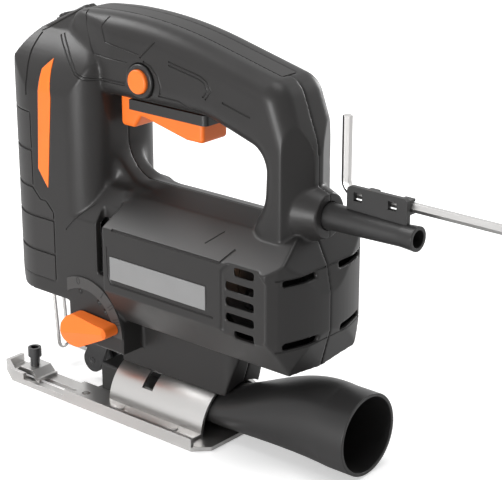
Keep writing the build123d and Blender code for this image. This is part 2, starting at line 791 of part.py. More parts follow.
with BuildPart() as shell:
    add(outer.part)
    add(cavity.part, mode=Mode.SUBTRACT)
    add(ribs.part)
    add(bosses.part)
    # front bearing seat and rear of the gear case
    with Locations(along_x(case_rear, MOTOR_Z)):
        Cylinder(FRONT_BEARING_R + RUN, 4 * WALL, mode=Mode.SUBTRACT, align=(Align.CENTER, Align.CENTER, Align.MIN))
    # air gap beside the gear case
    for side in (-1, 1):
        reach = sorted((side * VENT_GAP_DEPTH, side * FAR))
        add(
            span((VENT_GAP_FRONT, MOTOR_FRONT), reach, (VENT_GAP_LOW, VENT_GAP_TOP)), mode=Mode.SUBTRACT
        )
        # vent panel with its louvres
        recess = sorted((side * (MOTOR_HALF - VENT_RECESS), side * FAR))
        with BuildSketch(Plane.XZ.offset(-recess[0] if side > 0 else -recess[1])):
            with Locations(((VENT_FRONT + VENT_REAR) / 2, (VENT_LOW + VENT_HIGH) / 2)):
                panel = Rectangle(VENT_REAR - VENT_FRONT, VENT_HIGH - VENT_LOW)
            chamfer(panel.vertices(), length=VENT_CORNER)
        extrude(amount=-side * FAR, mode=Mode.SUBTRACT)
    for slot in range(VENT_SLOTS):
        pitch = (VENT_HIGH - VENT_LOW) / VENT_SLOTS
        z = VENT_LOW + pitch * (slot + 0.5)
        inset = VENT_MARGIN + VENT_CORNER * (slot in (0, VENT_SLOTS - 1))
        slot_x = (VENT_FRONT + inset, REAR_BEARING_X - MOVE)
        for side in (-1, 1):
            reach = sorted((side * (MOTOR_HALF - 2 * WALL - VENT_RECESS), side * FAR))
            add(span(slot_x, reach, (z - VENT_SLOT / 2, z + VENT_SLOT / 2)), mode=Mode.SUBTRACT)
    # air notches in the rear cap
    for z in NOTCH_Z:
        for side in (-1, 1):
            reach = sorted((side * NOTCH_HALF[0], side * NOTCH_HALF[1]))
            notch_z = (z - NOTCH_TALL / 2, z + NOTCH_TALL / 2)
            add(span((CAP_SIDE_X + MOVE, FAR), reach, notch_z), mode=Mode.SUBTRACT)
    # fork pocket, plunger port and guard sockets
    add(
        span((FORK_POCKET_FRONT, FORK_POCKET_REAR), (-pocket_half, pocket_half), (0, FORK_POCKET_TOP)),
        mode=Mode.SUBTRACT,
    )
    with Locations(along_y(*FORK_PIVOT)):
        Cylinder(FORK_PIN_R + RUN, 2 * FORK_PIN_HALF, mode=Mode.SUBTRACT)
    add(span(NOSE_PORT, (-NOSE_PORT_HALF, NOSE_PORT_HALF), (0, FRAME_LOW)), mode=Mode.SUBTRACT)
    add(guard_form(GUARD_R + SEAT), mode=Mode.SUBTRACT)
    # tilt bolt thread
    with Locations((TILT_SLOT_X, 0, SADDLE_R)):
        Cylinder(
            TILT_BOLT_R + RUN,
            TILT_BOLT_DEPTH + TILT_Z + SEAT,
            align=(Align.CENTER, Align.CENTER, Align.MIN),
            mode=Mode.SUBTRACT,
        )
    # cable gland
    with Locations(along_x(BOOT_INSIDE, GLAND_Z)):
        Cylinder(BOOT_ROOT_R + SEAT, FAR, align=(Align.CENTER, Align.CENTER, Align.MIN), mode=Mode.SUBTRACT)
    # trigger slot
    add(
        span(
            (TRIGGER_FRONT - MOVE, TRIGGER_REAR + TRIGGER_GAP),
            (-TRIGGER_HALF - MOVE, TRIGGER_HALF + MOVE),
            (TRIGGER_LOW_Z - 2 * MOVE, GRIP_UNDER_Z + 2 * WALL),
        ),
        mode=Mode.SUBTRACT,
    )
    # speed wheel slot and axle bore
    with Locations(along_y(*WHEEL)):
        Cylinder(WHEEL_R + MOVE, 2 * (WHEEL_HALF + MOVE), mode=Mode.SUBTRACT)
        Cylinder(WHEEL_AXLE_R + RUN, 2 * (WHEEL_AXLE_HALF + SEAT), mode=Mode.SUBTRACT)
    # seats of the skin pieces
    add(pad_zone.part, mode=Mode.SUBTRACT)
    add(accents.part, mode=Mode.SUBTRACT)
    add(strip_zone.part, mode=Mode.SUBTRACT)
    # screw holes, with sunk heads on the right
    for x, z, half in SCREWS:
        with Locations(along_y(x, z, half)):
            Cylinder(SHELL_SCREW_R + RUN, 2 * (SHELL_SCREW_LENGTH + SHELL_HEAD_SINK), mode=Mode.SUBTRACT)
        with Locations(along_y(x, z, half - SHELL_HEAD_SINK)):
            Cylinder(
                SHELL_HEAD_R + SEAT,
                FAR,
                align=(Align.CENTER, Align.CENTER, Align.MAX),
                mode=Mode.SUBTRACT,
            )

with BuildPart() as housing_left:
    add(shell.part)
    split(bisect_by=Plane.XZ, keep=Keep.TOP)
    # selector shaft, lock-on button and badge plate sit in the left half
    with Locations(along_y(DIAL_X, DIAL_Z, -SELECTOR_END + SEAT)):
        Cylinder(SELECTOR_R + RUN, FAR, align=(Align.CENTER, Align.CENTER, Align.MIN), mode=Mode.SUBTRACT)
    with Locations(along_y(LOCK_X, LOCK_Z)):
        Cylinder(COLLAR_R + SEAT, FAR, align=(Align.CENTER, Align.CENTER, Align.MIN), mode=Mode.SUBTRACT)
    add(
        span(BADGE[:2], (-FAR, -MOTOR_HALF + BADGE_THICK - BADGE_PROUD), BADGE[2:]),
        mode=Mode.SUBTRACT,
    )

with BuildPart() as housing_right:
    add(shell.part)
    split(bisect_by=Plane.XZ, keep=Keep.BOTTOM)

# Skin pieces let into the housing
with BuildPart() as pad_ribs:
    for z in PAD_NOTCHES:
        add(span((-FAR, FAR), (-FAR, FAR), (z - PAD_RIB_GAP / 2, z + PAD_RIB_GAP / 2)))
    add(nose_form(PAD_NOTCH), mode=Mode.SUBTRACT)

with BuildPart() as nose_pad:
    add(pad_zone.part)
    add(nose_form(PAD - RUN) & pad_zone.part, mode=Mode.SUBTRACT)
    add(pad_ribs.part, mode=Mode.SUBTRACT)

accent_skin = nose_form(INSERT - RUN)
with BuildPart() as accent_left:
    add(accents.part)
    add(accent_skin, mode=Mode.SUBTRACT)
    split(bisect_by=Plane.XZ, keep=Keep.TOP)

with BuildPart() as accent_right:
    add(accents.part)
    add(accent_skin, mode=Mode.SUBTRACT)
    split(bisect_by=Plane.XZ, keep=Keep.BOTTOM)

with BuildPart() as grip_strip:
    add(strip_zone.part)
    add(handle_form(GRIP_STRIP - RUN), mode=Mode.SUBTRACT)

with BuildPart() as badge_left:
    add(
        span(
            (BADGE[0] + SEAT, BADGE[1] - SEAT),
            (-MOTOR_HALF - BADGE_PROUD, -MOTOR_HALF - BADGE_PROUD + BADGE_THICK),
            (BADGE[2] + SEAT, BADGE[3] - SEAT),
        )
    )

with BuildPart() as housing_screws:
    for x, z, half in SCREWS:
        with Locations(along_y(x, z, half - SHELL_HEAD_SINK)):
            Cylinder(SHELL_SCREW_R, SHELL_SCREW_LENGTH, align=(Align.CENTER, Align.CENTER, Align.MIN))
            Cylinder(SHELL_HEAD_R, SHELL_HEAD, align=(Align.CENTER, Align.CENTER, Align.MAX))
        with Locations(along_y(x, z, half - SHELL_HEAD_SINK + SHELL_HEAD)):
            Cylinder(SHELL_SCREW_R / 2, SHELL_HEAD, mode=Mode.SUBTRACT)

# Stroke selector
with BuildPart() as orbit_dial:
    with BuildSketch(Plane.XZ.offset(NOSE_HALF)):
        with Locations((DIAL_X, DIAL_Z)):
            Circle(DIAL_R)
            Circle(DIAL_R - SCALE_WIDTH, mode=Mode.SUBTRACT)
        with Locations((DIAL_FRONT, DIAL_Z)):
            Rectangle(FAR, FAR, align=(Align.MIN, Align.MIN), mode=Mode.INTERSECT)
    extrude(amount=SCALE_THICK)
    add(motor, mode=Mode.SUBTRACT)

knob_base = NOSE_HALF + SCALE_THICK + SEAT + RUN * 2
with BuildPart() as orbit_knob:
    reach = KNOB_TIP - KNOB_TIP_R
    with BuildSketch(Plane.XZ.offset(knob_base)):
        with Locations((DIAL_X, DIAL_Z)):
            Circle(KNOB_ROUND)
        with Locations(
            (DIAL_X + reach * cos(radians(KNOB_REST)), DIAL_Z + reach * sin(radians(KNOB_REST)))
        ):
            Circle(KNOB_TIP_R)
        make_hull()
    extrude(amount=KNOB_THICK)
    chamfer(orbit_knob.faces().sort_by(Axis.Y)[0].edges(), length=KNOB_BEVEL)
    arm = (cos(radians(KNOB_REST)), 0, sin(radians(KNOB_REST)))
    with BuildSketch(Plane((DIAL_X, -knob_base, DIAL_Z), x_dir=(0, -1, 0), z_dir=arm)):
        Polygon(
            (0, -KNOB_TIP),
            (KNOB_THICK - KNOB_RIDGE, -KNOB_ROUND - KNOB_BEVEL),
            (KNOB_THICK, 0),
            (KNOB_THICK - KNOB_RIDGE, KNOB_ROUND + KNOB_BEVEL),
            (0, KNOB_TIP),
            align=None,
        )
    extrude(amount=FAR, both=True, mode=Mode.INTERSECT)
    with Locations(along_y(DIAL_X, DIAL_Z, -SELECTOR_END)):
        Cylinder(SELECTOR_R, knob_base - SELECTOR_END, align=(Align.CENTER, Align.CENTER, Align.MIN))
    with Locations(along_y(DIAL_X, DIAL_Z, -NOSE_HALF - MOVE / 2)):
        Cylinder(KNOB_ROUND - MOVE, knob_base - NOSE_HALF - MOVE / 2, align=(Align.CENTER, Align.CENTER, Align.MIN))

# Trigger group
trigger_top = GRIP_UNDER_Z + TRIGGER_INSIDE
with BuildPart() as trigger:
    with BuildSketch(Plane.XZ):
        Polygon(
            (TRIGGER_FRONT, trigger_top),
            (TRIGGER_FRONT, TRIGGER_LOW_Z),
            (TRIGGER_FRONT + TRIGGER_HOOK, TRIGGER_LOW_Z),
            TRIGGER_HOLLOW,
            (TRIGGER_REAR - TRIGGER_TAIL, TRIGGER_LOW_Z),
            (TRIGGER_REAR, TRIGGER_LOW_Z),
            (TRIGGER_REAR, trigger_top),
            align=None,
        )
    extrude(amount=TRIGGER_HALF, both=True)
    fillet(trigger.edges().filter_by(Axis.Y).filter_by_position(Axis.Z, 0, GRIP_UNDER_Z), radius=TRIGGER_ROUND)
    rims = trigger.faces().filter_by(Axis.Y).edges().filter_by_position(Axis.Z, 0, GRIP_UNDER_Z)
    fillet(rims, radius=TRIGGER_RIM)
    with Locations(along_y(*TRIGGER_PIVOT)):
        Cylinder(TRIGGER_EAR_R, 2 * TRIGGER_EAR_HALF)
    add(
        span(
            (TRIGGER_PIVOT[0] - TRIGGER_EAR_R, TRIGGER_PIVOT[0] + TRIGGER_EAR_R),
            (-TRIGGER_EAR_HALF, TRIGGER_EAR_HALF),
            (GRIP_UNDER_Z, TRIGGER_PIVOT[1]),
        )
    )
    with Locations(along_y(*TRIGGER_PIVOT)):
        Cylinder(TRIGGER_PIN_R + RUN, FAR, mode=Mode.SUBTRACT)

grip_drop = GRIP_ROUND - (TRIGGER_PIVOT[1] - TRIGGER_PIN_R - GRIP_UNDER_Z)
pin_half = GRIP_HALF - GRIP_ROUND + sqrt((GRIP_ROUND - WALL) ** 2 - grip_drop**2) - RUN
with BuildPart() as trigger_pin:
    with Locations(along_y(*TRIGGER_PIVOT)):
        Cylinder(TRIGGER_PIN_R, 2 * pin_half)

frame_half = TRIGGER_HALF + MOVE
with BuildPart() as trigger_frame:
    add(
        span(
            (FRAME_START, TRIGGER_REAR + TRIGGER_GAP + FRAME_RIM),
            (-frame_half - FRAME_RIM, frame_half + FRAME_RIM),
            (GRIP_UNDER_Z - FRAME_DROP, GRIP_UNDER_Z),
        )
    )
    fillet(trigger_frame.edges().filter_by(Axis.Z).group_by(Axis.X)[-1], radius=FRAME_RIM)
    add(span((0, TRIGGER_REAR + TRIGGER_GAP), (-frame_half, frame_half), (0, FAR)), mode=Mode.SUBTRACT)
    add(handle, mode=Mode.SUBTRACT)

with BuildPart() as lock_collar:
    with Locations(along_y(LOCK_X, LOCK_Z, -GRIP_HALF + WALL)):
        Cylinder(COLLAR_R, WALL + COLLAR_PROUD, align=(Align.CENTER, Align.CENTER, Align.MIN))
        Cylinder(LOCK_R + RUN, FAR, mode=Mode.SUBTRACT)
    chamfer(lock_collar.faces().sort_by(Axis.Y)[0].edges().sort_by(SortBy.RADIUS)[-1], length=COLLAR_PROUD / 2)

with BuildPart() as lock_button:
    with Locations(along_y(LOCK_X, LOCK_Z, -GRIP_HALF + WALL)):
        Cylinder(LOCK_R, WALL + LOCK_PROUD, align=(Align.CENTER, Align.CENTER, Align.MIN))
        Cylinder(LOCK_STEM, WALL * 2, align=(Align.CENTER, Align.CENTER, Align.MAX))
    fillet(lock_button.faces().sort_by(Axis.Y)[0].edges(), radius=LOCK_RIM)

with BuildPart() as switch_body:
    half = GRIP_HALF - WALL - SEAT
    add(span(SWITCH[:2], (-half, half), SWITCH[2:]))

with BuildPart() as speed_wheel:
    with Locations(along_y(*WHEEL)):
        Cylinder(WHEEL_R, 2 * WHEEL_HALF)
        with PolarLocations(WHEEL_R, WHEEL_NOTCHES):
            Cylinder(WHEEL_NOTCH_R, 2 * WHEEL_HALF, mode=Mode.SUBTRACT)
        Cylinder(WHEEL_AXLE_R, 2 * WHEEL_AXLE_HALF)

# Cable sleeve, key holder and hex key
flange_rear = GLAND_FRONT - SEAT / 2
with BuildPart() as cable_boot:
    with BuildSketch(Plane.XZ):
        Polygon(
            (flange_rear - BOOT_FLANGE, GLAND_Z + BOOT_BORE_R),
            (flange_rear - BOOT_FLANGE, GLAND_Z + BOOT_FLANGE_R),
            (flange_rear, GLAND_Z + BOOT_FLANGE_R),
            (flange_rear, GLAND_Z + BOOT_ROOT_R),
            (GLAND_REAR, GLAND_Z + BOOT_ROOT_R),
            (BOOT_NECK_X, GLAND_Z + BOOT_NECK_R),
            (BOOT_END, GLAND_Z + BOOT_END_R),
            (BOOT_END, GLAND_Z + BOOT_BORE_R),
            align=None,
        )
    revolve(axis=Axis((0, 0, GLAND_Z), (1, 0, 0)))


def sleeve_r(x):
    """Radius of the cable sleeve at x."""
    share = (x - GLAND_REAR) / (BOOT_NECK_X - GLAND_REAR)
    return BOOT_ROOT_R + (BOOT_NECK_R - BOOT_ROOT_R) * share


key_y = HOLDER_THICK / 2 + SEAT + KEY_FLATS / sqrt(3)
with BuildPart() as key_holder:
    with BuildSketch(Plane.XZ):
        with Locations((HOLDER[0], GLAND_Z)):
            plate = Rectangle(HOLDER[1] - HOLDER[0], HOLDER_TOP - GLAND_Z, align=(Align.MIN, Align.MIN))
        fillet(plate.vertices().group_by(Axis.Y)[-1], radius=HOLDER_CORNER)
    extrude(amount=HOLDER_THICK / 2, both=True)
    for x in HOLDER_WINDOW_X:
        with Locations((x, 0, KEY_Z)):
            Box(HOLDER_WINDOW[0], FAR, HOLDER_WINDOW[1], mode=Mode.SUBTRACT)
        clip_x = (x + HOLDER_WINDOW[0] / 2, x + HOLDER_WINDOW[0] / 2 + CLIP_WIDTH)
        for side in (-1, 1):
            z = KEY_Z + side * (KEY_FLATS / 2 + SEAT / 2)
            finger = sorted((z, z + side * CLIP_FINGER))
            add(span(clip_x, (0, key_y + KEY_FLATS / 2), finger))
    with BuildSketch(Plane.XZ):
        Polygon(
            (GLAND_REAR, GLAND_Z),
            (GLAND_REAR, GLAND_Z + sleeve_r(GLAND_REAR) + RUN),
            (BOOT_NECK_X, GLAND_Z + sleeve_r(BOOT_NECK_X) + RUN),
            (BOOT_END, GLAND_Z + BOOT_END_R + RUN),
            (BOOT_END, GLAND_Z),
            align=None,
        )
    revolve(axis=Axis((0, 0, GLAND_Z), (1, 0, 0)), mode=Mode.SUBTRACT)

with BuildPart() as hex_key:
    with BuildLine() as key_path:
        FilletPolyline((KEY_REAR, key_y, KEY_Z), (KEY_FRONT, key_y, KEY_Z), (KEY_FRONT, key_y, KEY_TOP), radius=KEY_BEND)
    with BuildSketch(Plane(key_path.line @ 0, x_dir=(0, 1, 0), z_dir=key_path.line % 0)):
        RegularPolygon(KEY_FLATS / 2, 6, major_radius=False, rotation=0)
    sweep()

with BuildPart() as wire_guard:
    add(guard_form(GUARD_R))

# Sole and saddle
with BuildPart() as shoe_plate:
    with BuildSketch():
        with BuildLine():
            Polyline(
                (SOLE_REAR, 0),
                (SOLE_REAR, SOLE_HALF - (SOLE_REAR - FLANGE_REAR)),
                (FLANGE_REAR, SOLE_HALF),
                (PRONG_CORNER, SOLE_HALF),
                (SOLE_FRONT, PRONG_TIP_HALF),
                (SOLE_FRONT, PRONG_GAP),
                (THROAT_FRONT, PRONG_GAP),
                (THROAT_FRONT, THROAT_HALF),
                (THROAT_REAR, THROAT_HALF),
                (THROAT_REAR, 0),
            )
            mirror(about=Plane.XZ)
        make_face()
        with Locations(((ACCESS_FRONT + ACCESS_REAR) / 2, 0)):
            Rectangle(ACCESS_REAR - ACCESS_FRONT, 2 * ACCESS_HALF, mode=Mode.SUBTRACT)
        for side in (-1, 1):
            with Locations((sum(RAIL_SLOT) / 2, side * RAIL_SLOT_Y)):
                Rectangle(RAIL_SLOT[1] - RAIL_SLOT[0], RAIL_SLOT_WIDTH, mode=Mode.SUBTRACT)
            with Locations((RAIL_HOLE[0], side * BRIDGE_Y)):
                Circle(RAIL_HOLE[1], mode=Mode.SUBTRACT)
    extrude(amount=SHEET)
    with BuildSketch():
        Polygon(
            (SOLE_FRONT, 0),
            (SOLE_FRONT, PRONG_TIP_HALF),
            (PRONG_CORNER, SOLE_HALF),
            (FLANGE_REAR, SOLE_HALF),
            (FLANGE_REAR, 0),
            align=None,
        )
        offset(amount=-SHEET, kind=Kind.INTERSECTION, mode=Mode.SUBTRACT)
        with Locations((SOLE_FRONT, PRONG_GAP)):
            Rectangle(LIP_BACK - SOLE_FRONT, FAR, align=(Align.MIN, Align.MIN), mode=Mode.INTERSECT)
        mirror(about=Plane.XZ)
    extrude(amount=FLANGE_TALL)
    for side in (-1, 1):
        rail = sorted((side * (SOLE_HALF - SHEET), side * SOLE_HALF))
        add(span((FLANGE_STEP, FLANGE_REAR), rail, (0, FLANGE_TALL)))
        add(span((LIP_BACK, FLANGE_STEP), rail, (0, FLANGE_LOW)))
    rise = SHEET + BRIDGE_RISE
    half = BRIDGE_FLAT / 2
    base = half + BRIDGE_RISE
    slant = BRIDGE_SHEET * tan(pi / 8)
    hat = (
        (base, SHEET),
        (half, rise),
        (-half, rise),
        (-base, SHEET),
        (-base - BRIDGE_FOOT, SHEET),
        (-base - BRIDGE_FOOT, SHEET + BRIDGE_SHEET),
        (-base - slant, SHEET + BRIDGE_SHEET),
        (-half - slant, rise + BRIDGE_SHEET),
        (half + slant, rise + BRIDGE_SHEET),
        (base + slant, SHEET + BRIDGE_SHEET),
        (base + BRIDGE_FOOT, SHEET + BRIDGE_SHEET),
        (base + BRIDGE_FOOT, SHEET),
    )
    for side in (-1, 1):
        with BuildSketch(Plane.XZ.offset(side * BRIDGE_Y)):
            with Locations((BRIDGE_X, 0)):
                Polygon(*hat, align=None)
        extrude(amount=BRIDGE_WIDTH / 2, both=True)
    with Locations((BRIDGE_X, -BRIDGE_Y, rise)):
        Cylinder(SCREW_R + RUN, 2 * BRIDGE_SHEET + MOVE, mode=Mode.SUBTRACT)
    with Locations([(x, side * RIVET_Y, 0) for x in RIVETS for side in (-1, 1)]):
        Cylinder(RIVET_SHANK_R + RUN, FAR, mode=Mode.SUBTRACT)

with BuildPart() as fence_screw:
    with Locations((BRIDGE_X, -BRIDGE_Y, SCREW_TOP_Z)):
        Cylinder(SCREW_HEAD_R, SCREW_HEAD, align=(Align.CENTER, Align.CENTER, Align.MAX))
    with Locations((BRIDGE_X, -BRIDGE_Y, SHEET + BRIDGE_RISE / 2)):
        Cylinder(SCREW_R, SCREW_TOP_Z - SHEET - SCREW_HEAD, align=(Align.CENTER, Align.CENTER, Align.MIN))
    with BuildSketch(Plane.XY.offset(SCREW_TOP_Z)):
        with Locations((BRIDGE_X, -BRIDGE_Y)):
            RegularPolygon(SCREW_KEY / 2 + RUN, 6, major_radius=False)
    extrude(amount=-SCREW_HEAD / 2, mode=Mode.SUBTRACT)

saddle_bore = SADDLE_R - SADDLE_SHEET
with BuildPart() as saddle:
    with BuildSketch(Plane.YZ.offset(SADDLE_FRONT)):
        with Locations((0, TILT_Z)):
            Circle(SADDLE_R)
        with Locations((0, SHEET)):
            Rectangle(2 * SADDLE_FOOT, FAR, align=(Align.CENTER, Align.MIN), mode=Mode.INTERSECT)
            Rectangle(2 * SADDLE_FOOT, SADDLE_SHEET, align=(Align.CENTER, Align.MIN))
        with Locations((0, TILT_Z)):
            Circle(saddle_bore, mode=Mode.SUBTRACT)
    extrude(amount=SADDLE_REAR - SADDLE_FRONT)
    slot_z = TILT_Z + saddle_bore * cos(radians(TILT_SLOT_ANGLE))
    add(
        span((TILT_SLOT_X - TILT_SLOT / 2, TILT_SLOT_X + TILT_SLOT / 2), (-FAR, FAR), (slot_z, FAR)),
        mode=Mode.SUBTRACT,
    )
    for y in SADDLE_TEETH:
        for side in (-1, 1):
            tooth = sorted((side * y, side * (y + SADDLE_TOOTH[1])))
            add(span((0, SADDLE_FRONT + SADDLE_TOOTH[0]), tooth, (SADDLE_R / 2, FAR)), mode=Mode.SUBTRACT)
    with Locations([(x, side * RIVET_Y, 0) for x in RIVETS for side in (-1, 1)]):
        Cylinder(RIVET_SHANK_R + RUN, FAR, mode=Mode.SUBTRACT)

with BuildPart() as saddle_rivets:
    with Locations([(x, side * RIVET_Y, SHEET + SADDLE_SHEET) for x in RIVETS for side in (-1, 1)]):
        Cylinder(RIVET_R, RIVET_RISE, align=(Align.CENTER, Align.CENTER, Align.MIN))
        Cylinder(RIVET_SHANK_R, SHEET + SADDLE_SHEET - SEAT, align=(Align.CENTER, Align.CENTER, Align.MAX))

washer_top = saddle_bore - MOVE
washer_low = washer_top - TILT_WASHER
with BuildPart() as tilt_washer:
    with BuildSketch(Plane.YZ.offset(TILT_SLOT_X)):
        with Locations((0, TILT_Z)):
            Circle(washer_top)
            Circle(washer_low, mode=Mode.SUBTRACT)
            Rectangle(2 * TILT_WASHER_HALF, FAR, align=(Align.CENTER, Align.MIN), mode=Mode.INTERSECT)
    extrude(amount=TILT_WASHER_HALF, both=True)
    with Locations((TILT_SLOT_X, 0, 0)):
        Cylinder(TILT_BOLT_R + RUN, FAR, mode=Mode.SUBTRACT)

head_top = TILT_Z + sqrt(washer_low**2 - TILT_HEAD_R**2) - RUN
bolt_top = TILT_Z + SADDLE_R + TILT_BOLT_DEPTH
with BuildPart() as tilt_bolt:
    with Locations((TILT_SLOT_X, 0, head_top)):
        Cylinder(TILT_HEAD_R, TILT_HEAD, align=(Align.CENTER, Align.CENTER, Align.MAX))
        Cylinder(TILT_BOLT_R, bolt_top - head_top, align=(Align.CENTER, Align.CENTER, Align.MIN))
    with BuildSketch(Plane.XY.offset(head_top - TILT_HEAD)):
        with Locations((TILT_SLOT_X, 0)):
            RegularPolygon(KEY_FLATS / 2 + RUN, 6, major_radius=False)
    extrude(amount=TILT_HEAD / 2, mode=Mode.SUBTRACT)

# Dust way
with BuildPart() as dust_duct:
    duct_x = (DUCT_FRONT, SADDLE_FRONT + DUCT_OVERLAP)
    add(span(duct_x, (-DUCT_HALF, DUCT_HALF), (SHEET, SHEET + DUCT_TALL)))
    inside = DUCT_HALF - DUCT_WALL
    add(span((0, FAR), (-inside, inside), (0, SHEET + DUCT_TALL - DUCT_WALL)), mode=Mode.SUBTRACT)
    fillet(dust_duct.edges().filter_by(Axis.X).group_by(Axis.Z)[-1], radius=DUCT_WALL)


def tube_form(inset):
    """Suction adapter: oval plug that grows into a round mouth."""
    plug_z = SHEET + SEAT + TUBE_PLUG[1]
    ovals = (
        (SADDLE_REAR, *TUBE_PLUG, plug_z),
        (TUBE_NECK_X, *TUBE_NECK),
        (TUBE_HUMP_X, *TUBE_HUMP),
    )
    with BuildPart() as form:
        for x, wide, tall, z in ovals:
            with BuildSketch(Plane.YZ.offset(x)):
                with Locations((0, z)):
                    Ellipse(wide - inset, tall - inset)
        with BuildSketch(Plane.YZ.offset(TUBE_STRAIGHT_X)):
            with Locations((0, TUBE_MOUTH_Z)):
                Circle(TUBE_MOUTH_R - inset)
        loft()
        with BuildSketch(Plane.YZ.offset(SADDLE_REAR)):
            with Locations((0, plug_z)):
                Ellipse(TUBE_PLUG[0] - inset, TUBE_PLUG[1] - inset)
        extrude(amount=TUBE_START - SADDLE_REAR)
        with BuildSketch(Plane.YZ.offset(TUBE_STRAIGHT_X)):
            with Locations((0, TUBE_MOUTH_Z)):
                Circle(TUBE_MOUTH_R - inset)
        extrude(amount=TUBE_MOUTH_X - TUBE_STRAIGHT_X)
    return form.part


with BuildPart() as dust_tube:
    add(tube_form(0.0))
    add(tube_form(TUBE_WALL), mode=Mode.SUBTRACT)

# Blade support
cheek_in = ROLLER_HALF + MOVE
cheek_out = cheek_in + FORK_CHEEK
with BuildPart() as roller_fork:
    with BuildSketch(Plane.XZ):
        with Locations((ROLLER_X, ROLLER_Z)):
            Circle(FORK_BOSS_R)
        with Locations(FORK_PIVOT):
            Circle(FORK_HUB_R)
        make_hull()
    extrude(amount=cheek_out, both=True)
    add(span((-FAR, FAR), (-cheek_in, cheek_in), (0, FORK_SLOT_TOP)), mode=Mode.SUBTRACT)
    with Locations(along_y(*FORK_PIVOT)):
        Cylinder(FORK_PIN_R + RUN, FAR, mode=Mode.SUBTRACT)
    with Locations(along_y(ROLLER_X, ROLLER_Z)):
        Cylinder(ROLLER_PIN_R + RUN, FAR, mode=Mode.SUBTRACT)

with BuildPart() as fork_pin:
    with Locations(along_y(*FORK_PIVOT)):
        Cylinder(FORK_PIN_R, 2 * FORK_PIN_HALF)

with BuildPart() as roller_pin:
    with Locations(along_y(ROLLER_X, ROLLER_Z)):
        Cylinder(ROLLER_PIN_R, 2 * cheek_out)

with BuildPart() as roller:
    with Locations(along_y(ROLLER_X, ROLLER_Z)):
        Cylinder(ROLLER_R, 2 * ROLLER_HALF)
        Cylinder(ROLLER_PIN_R + RUN, FAR, mode=Mode.SUBTRACT)
    with BuildSketch(Plane.XY.offset(ROLLER_Z)):
        with Locations((ROLLER_X - ROLLER_R, 0)):
            Rectangle(2 * ROLLER_GROOVE, 2 * ROLLER_GROOVE, rotation=45)
    revolve(axis=Axis((ROLLER_X, 0, ROLLER_Z), (0, 1, 0)), mode=Mode.SUBTRACT)

# Drive train
gear_rear = GEAR_FRONT + GEAR_WIDTH
frame_x = gear_rear + GEAR_SIDE
frame_rear = frame_x + FRAME_PLATE
with BuildPart() as pinion:
    with BuildSketch(Plane.YZ.offset(GEAR_FRONT)):
        with Locations((0, MOTOR_Z)):
            gear_profile(
                PINION_TEETH, PINION_R - DEDENDUM * MODULE, PINION_R + ADDENDUM * MODULE, BACKLASH, pi / 2
            )
            Circle(SHAFT_NOSE_R + RUN, mode=Mode.SUBTRACT)
    extrude(amount=GEAR_WIDTH)

with BuildPart() as drive_gear:
    with BuildSketch(Plane.YZ.offset(GEAR_FRONT)):
        with Locations((0, GEAR_Z)):
            gear_profile(
                GEAR_TEETH,
                GEAR_R - DEDENDUM * MODULE,
                GEAR_R + ADDENDUM * MODULE,
                BACKLASH,
                pi / 2 + pi / GEAR_TEETH,
            )
            Circle(SPINDLE_R + RUN, mode=Mode.SUBTRACT)
    extrude(amount=GEAR_WIDTH)
    with Locations(along_x(GEAR_FRONT, GEAR_Z, CRANK)):
        Cylinder(CRANK_PIN_R + RUN, GEAR_WIDTH, mode=Mode.SUBTRACT)

with BuildPart() as crank_pin:
    pin_length = GEAR_FRONT + GEAR_WIDTH / 2 - YOKE_REAR - CRANK_GAP
    with Locations(along_x(YOKE_REAR + CRANK_GAP, GEAR_Z, CRANK)):
        Cylinder(CRANK_PIN_R, pin_length, align=(Align.CENTER, Align.CENTER, Align.MIN))

with BuildPart() as gear_spindle:
    with Locations(along_x(GEAR_FRONT, GEAR_Z)):
        Cylinder(SPINDLE_R, frame_rear - GEAR_FRONT, align=(Align.CENTER, Align.CENTER, Align.MIN))

with BuildPart() as gear_frame:
    half = NOSE_HALF - WALL - PAD - SEAT
    add(span((frame_x, frame_rear), (-half, half), (FRAME_LOW, FRAME_WIDE_TOP)))
    arm_half = (-FRAME_ARM_HALF, FRAME_ARM_HALF)
    add(span((frame_x, frame_rear), arm_half, (FRAME_LOW, FRAME_TOP)))
    front = -BUSH_R - RIB
    add(span((front, frame_rear), arm_half, (FRAME_LOW, FRAME_LOW + FRAME_ARM)))
    add(span((front, frame_rear), arm_half, (FRAME_TOP - FRAME_ARM, FRAME_TOP)))
    Cylinder(BUSH_R + RUN, FAR, align=(Align.CENTER, Align.CENTER, Align.MIN), mode=Mode.SUBTRACT)
    with Locations(along_x(frame_x, GEAR_Z)):
        Cylinder(SPINDLE_R + RUN, FAR, mode=Mode.SUBTRACT)
    with Locations(along_x(frame_x, MOTOR_Z)):
        Cylinder(SHAFT_R + MOVE, FAR, mode=Mode.SUBTRACT)

with BuildPart() as plunger_bushes:
    for low in (FRAME_LOW, FRAME_TOP - FRAME_ARM):
        with Locations((0, 0, low)):
            Cylinder(BUSH_R, FRAME_ARM, align=(Align.CENTER, Align.CENTER, Align.MIN))
    Cylinder(PLUNGER_R + RUN, FAR, align=(Align.CENTER, Align.CENTER, Align.MIN), mode=Mode.SUBTRACT)

with BuildPart() as plunger:
    with Locations((0, 0, ROD_LOW)):
        Cylinder(PLUNGER_R, PLUNGER_TOP - ROD_LOW, align=(Align.CENTER, Align.CENTER, Align.MIN))

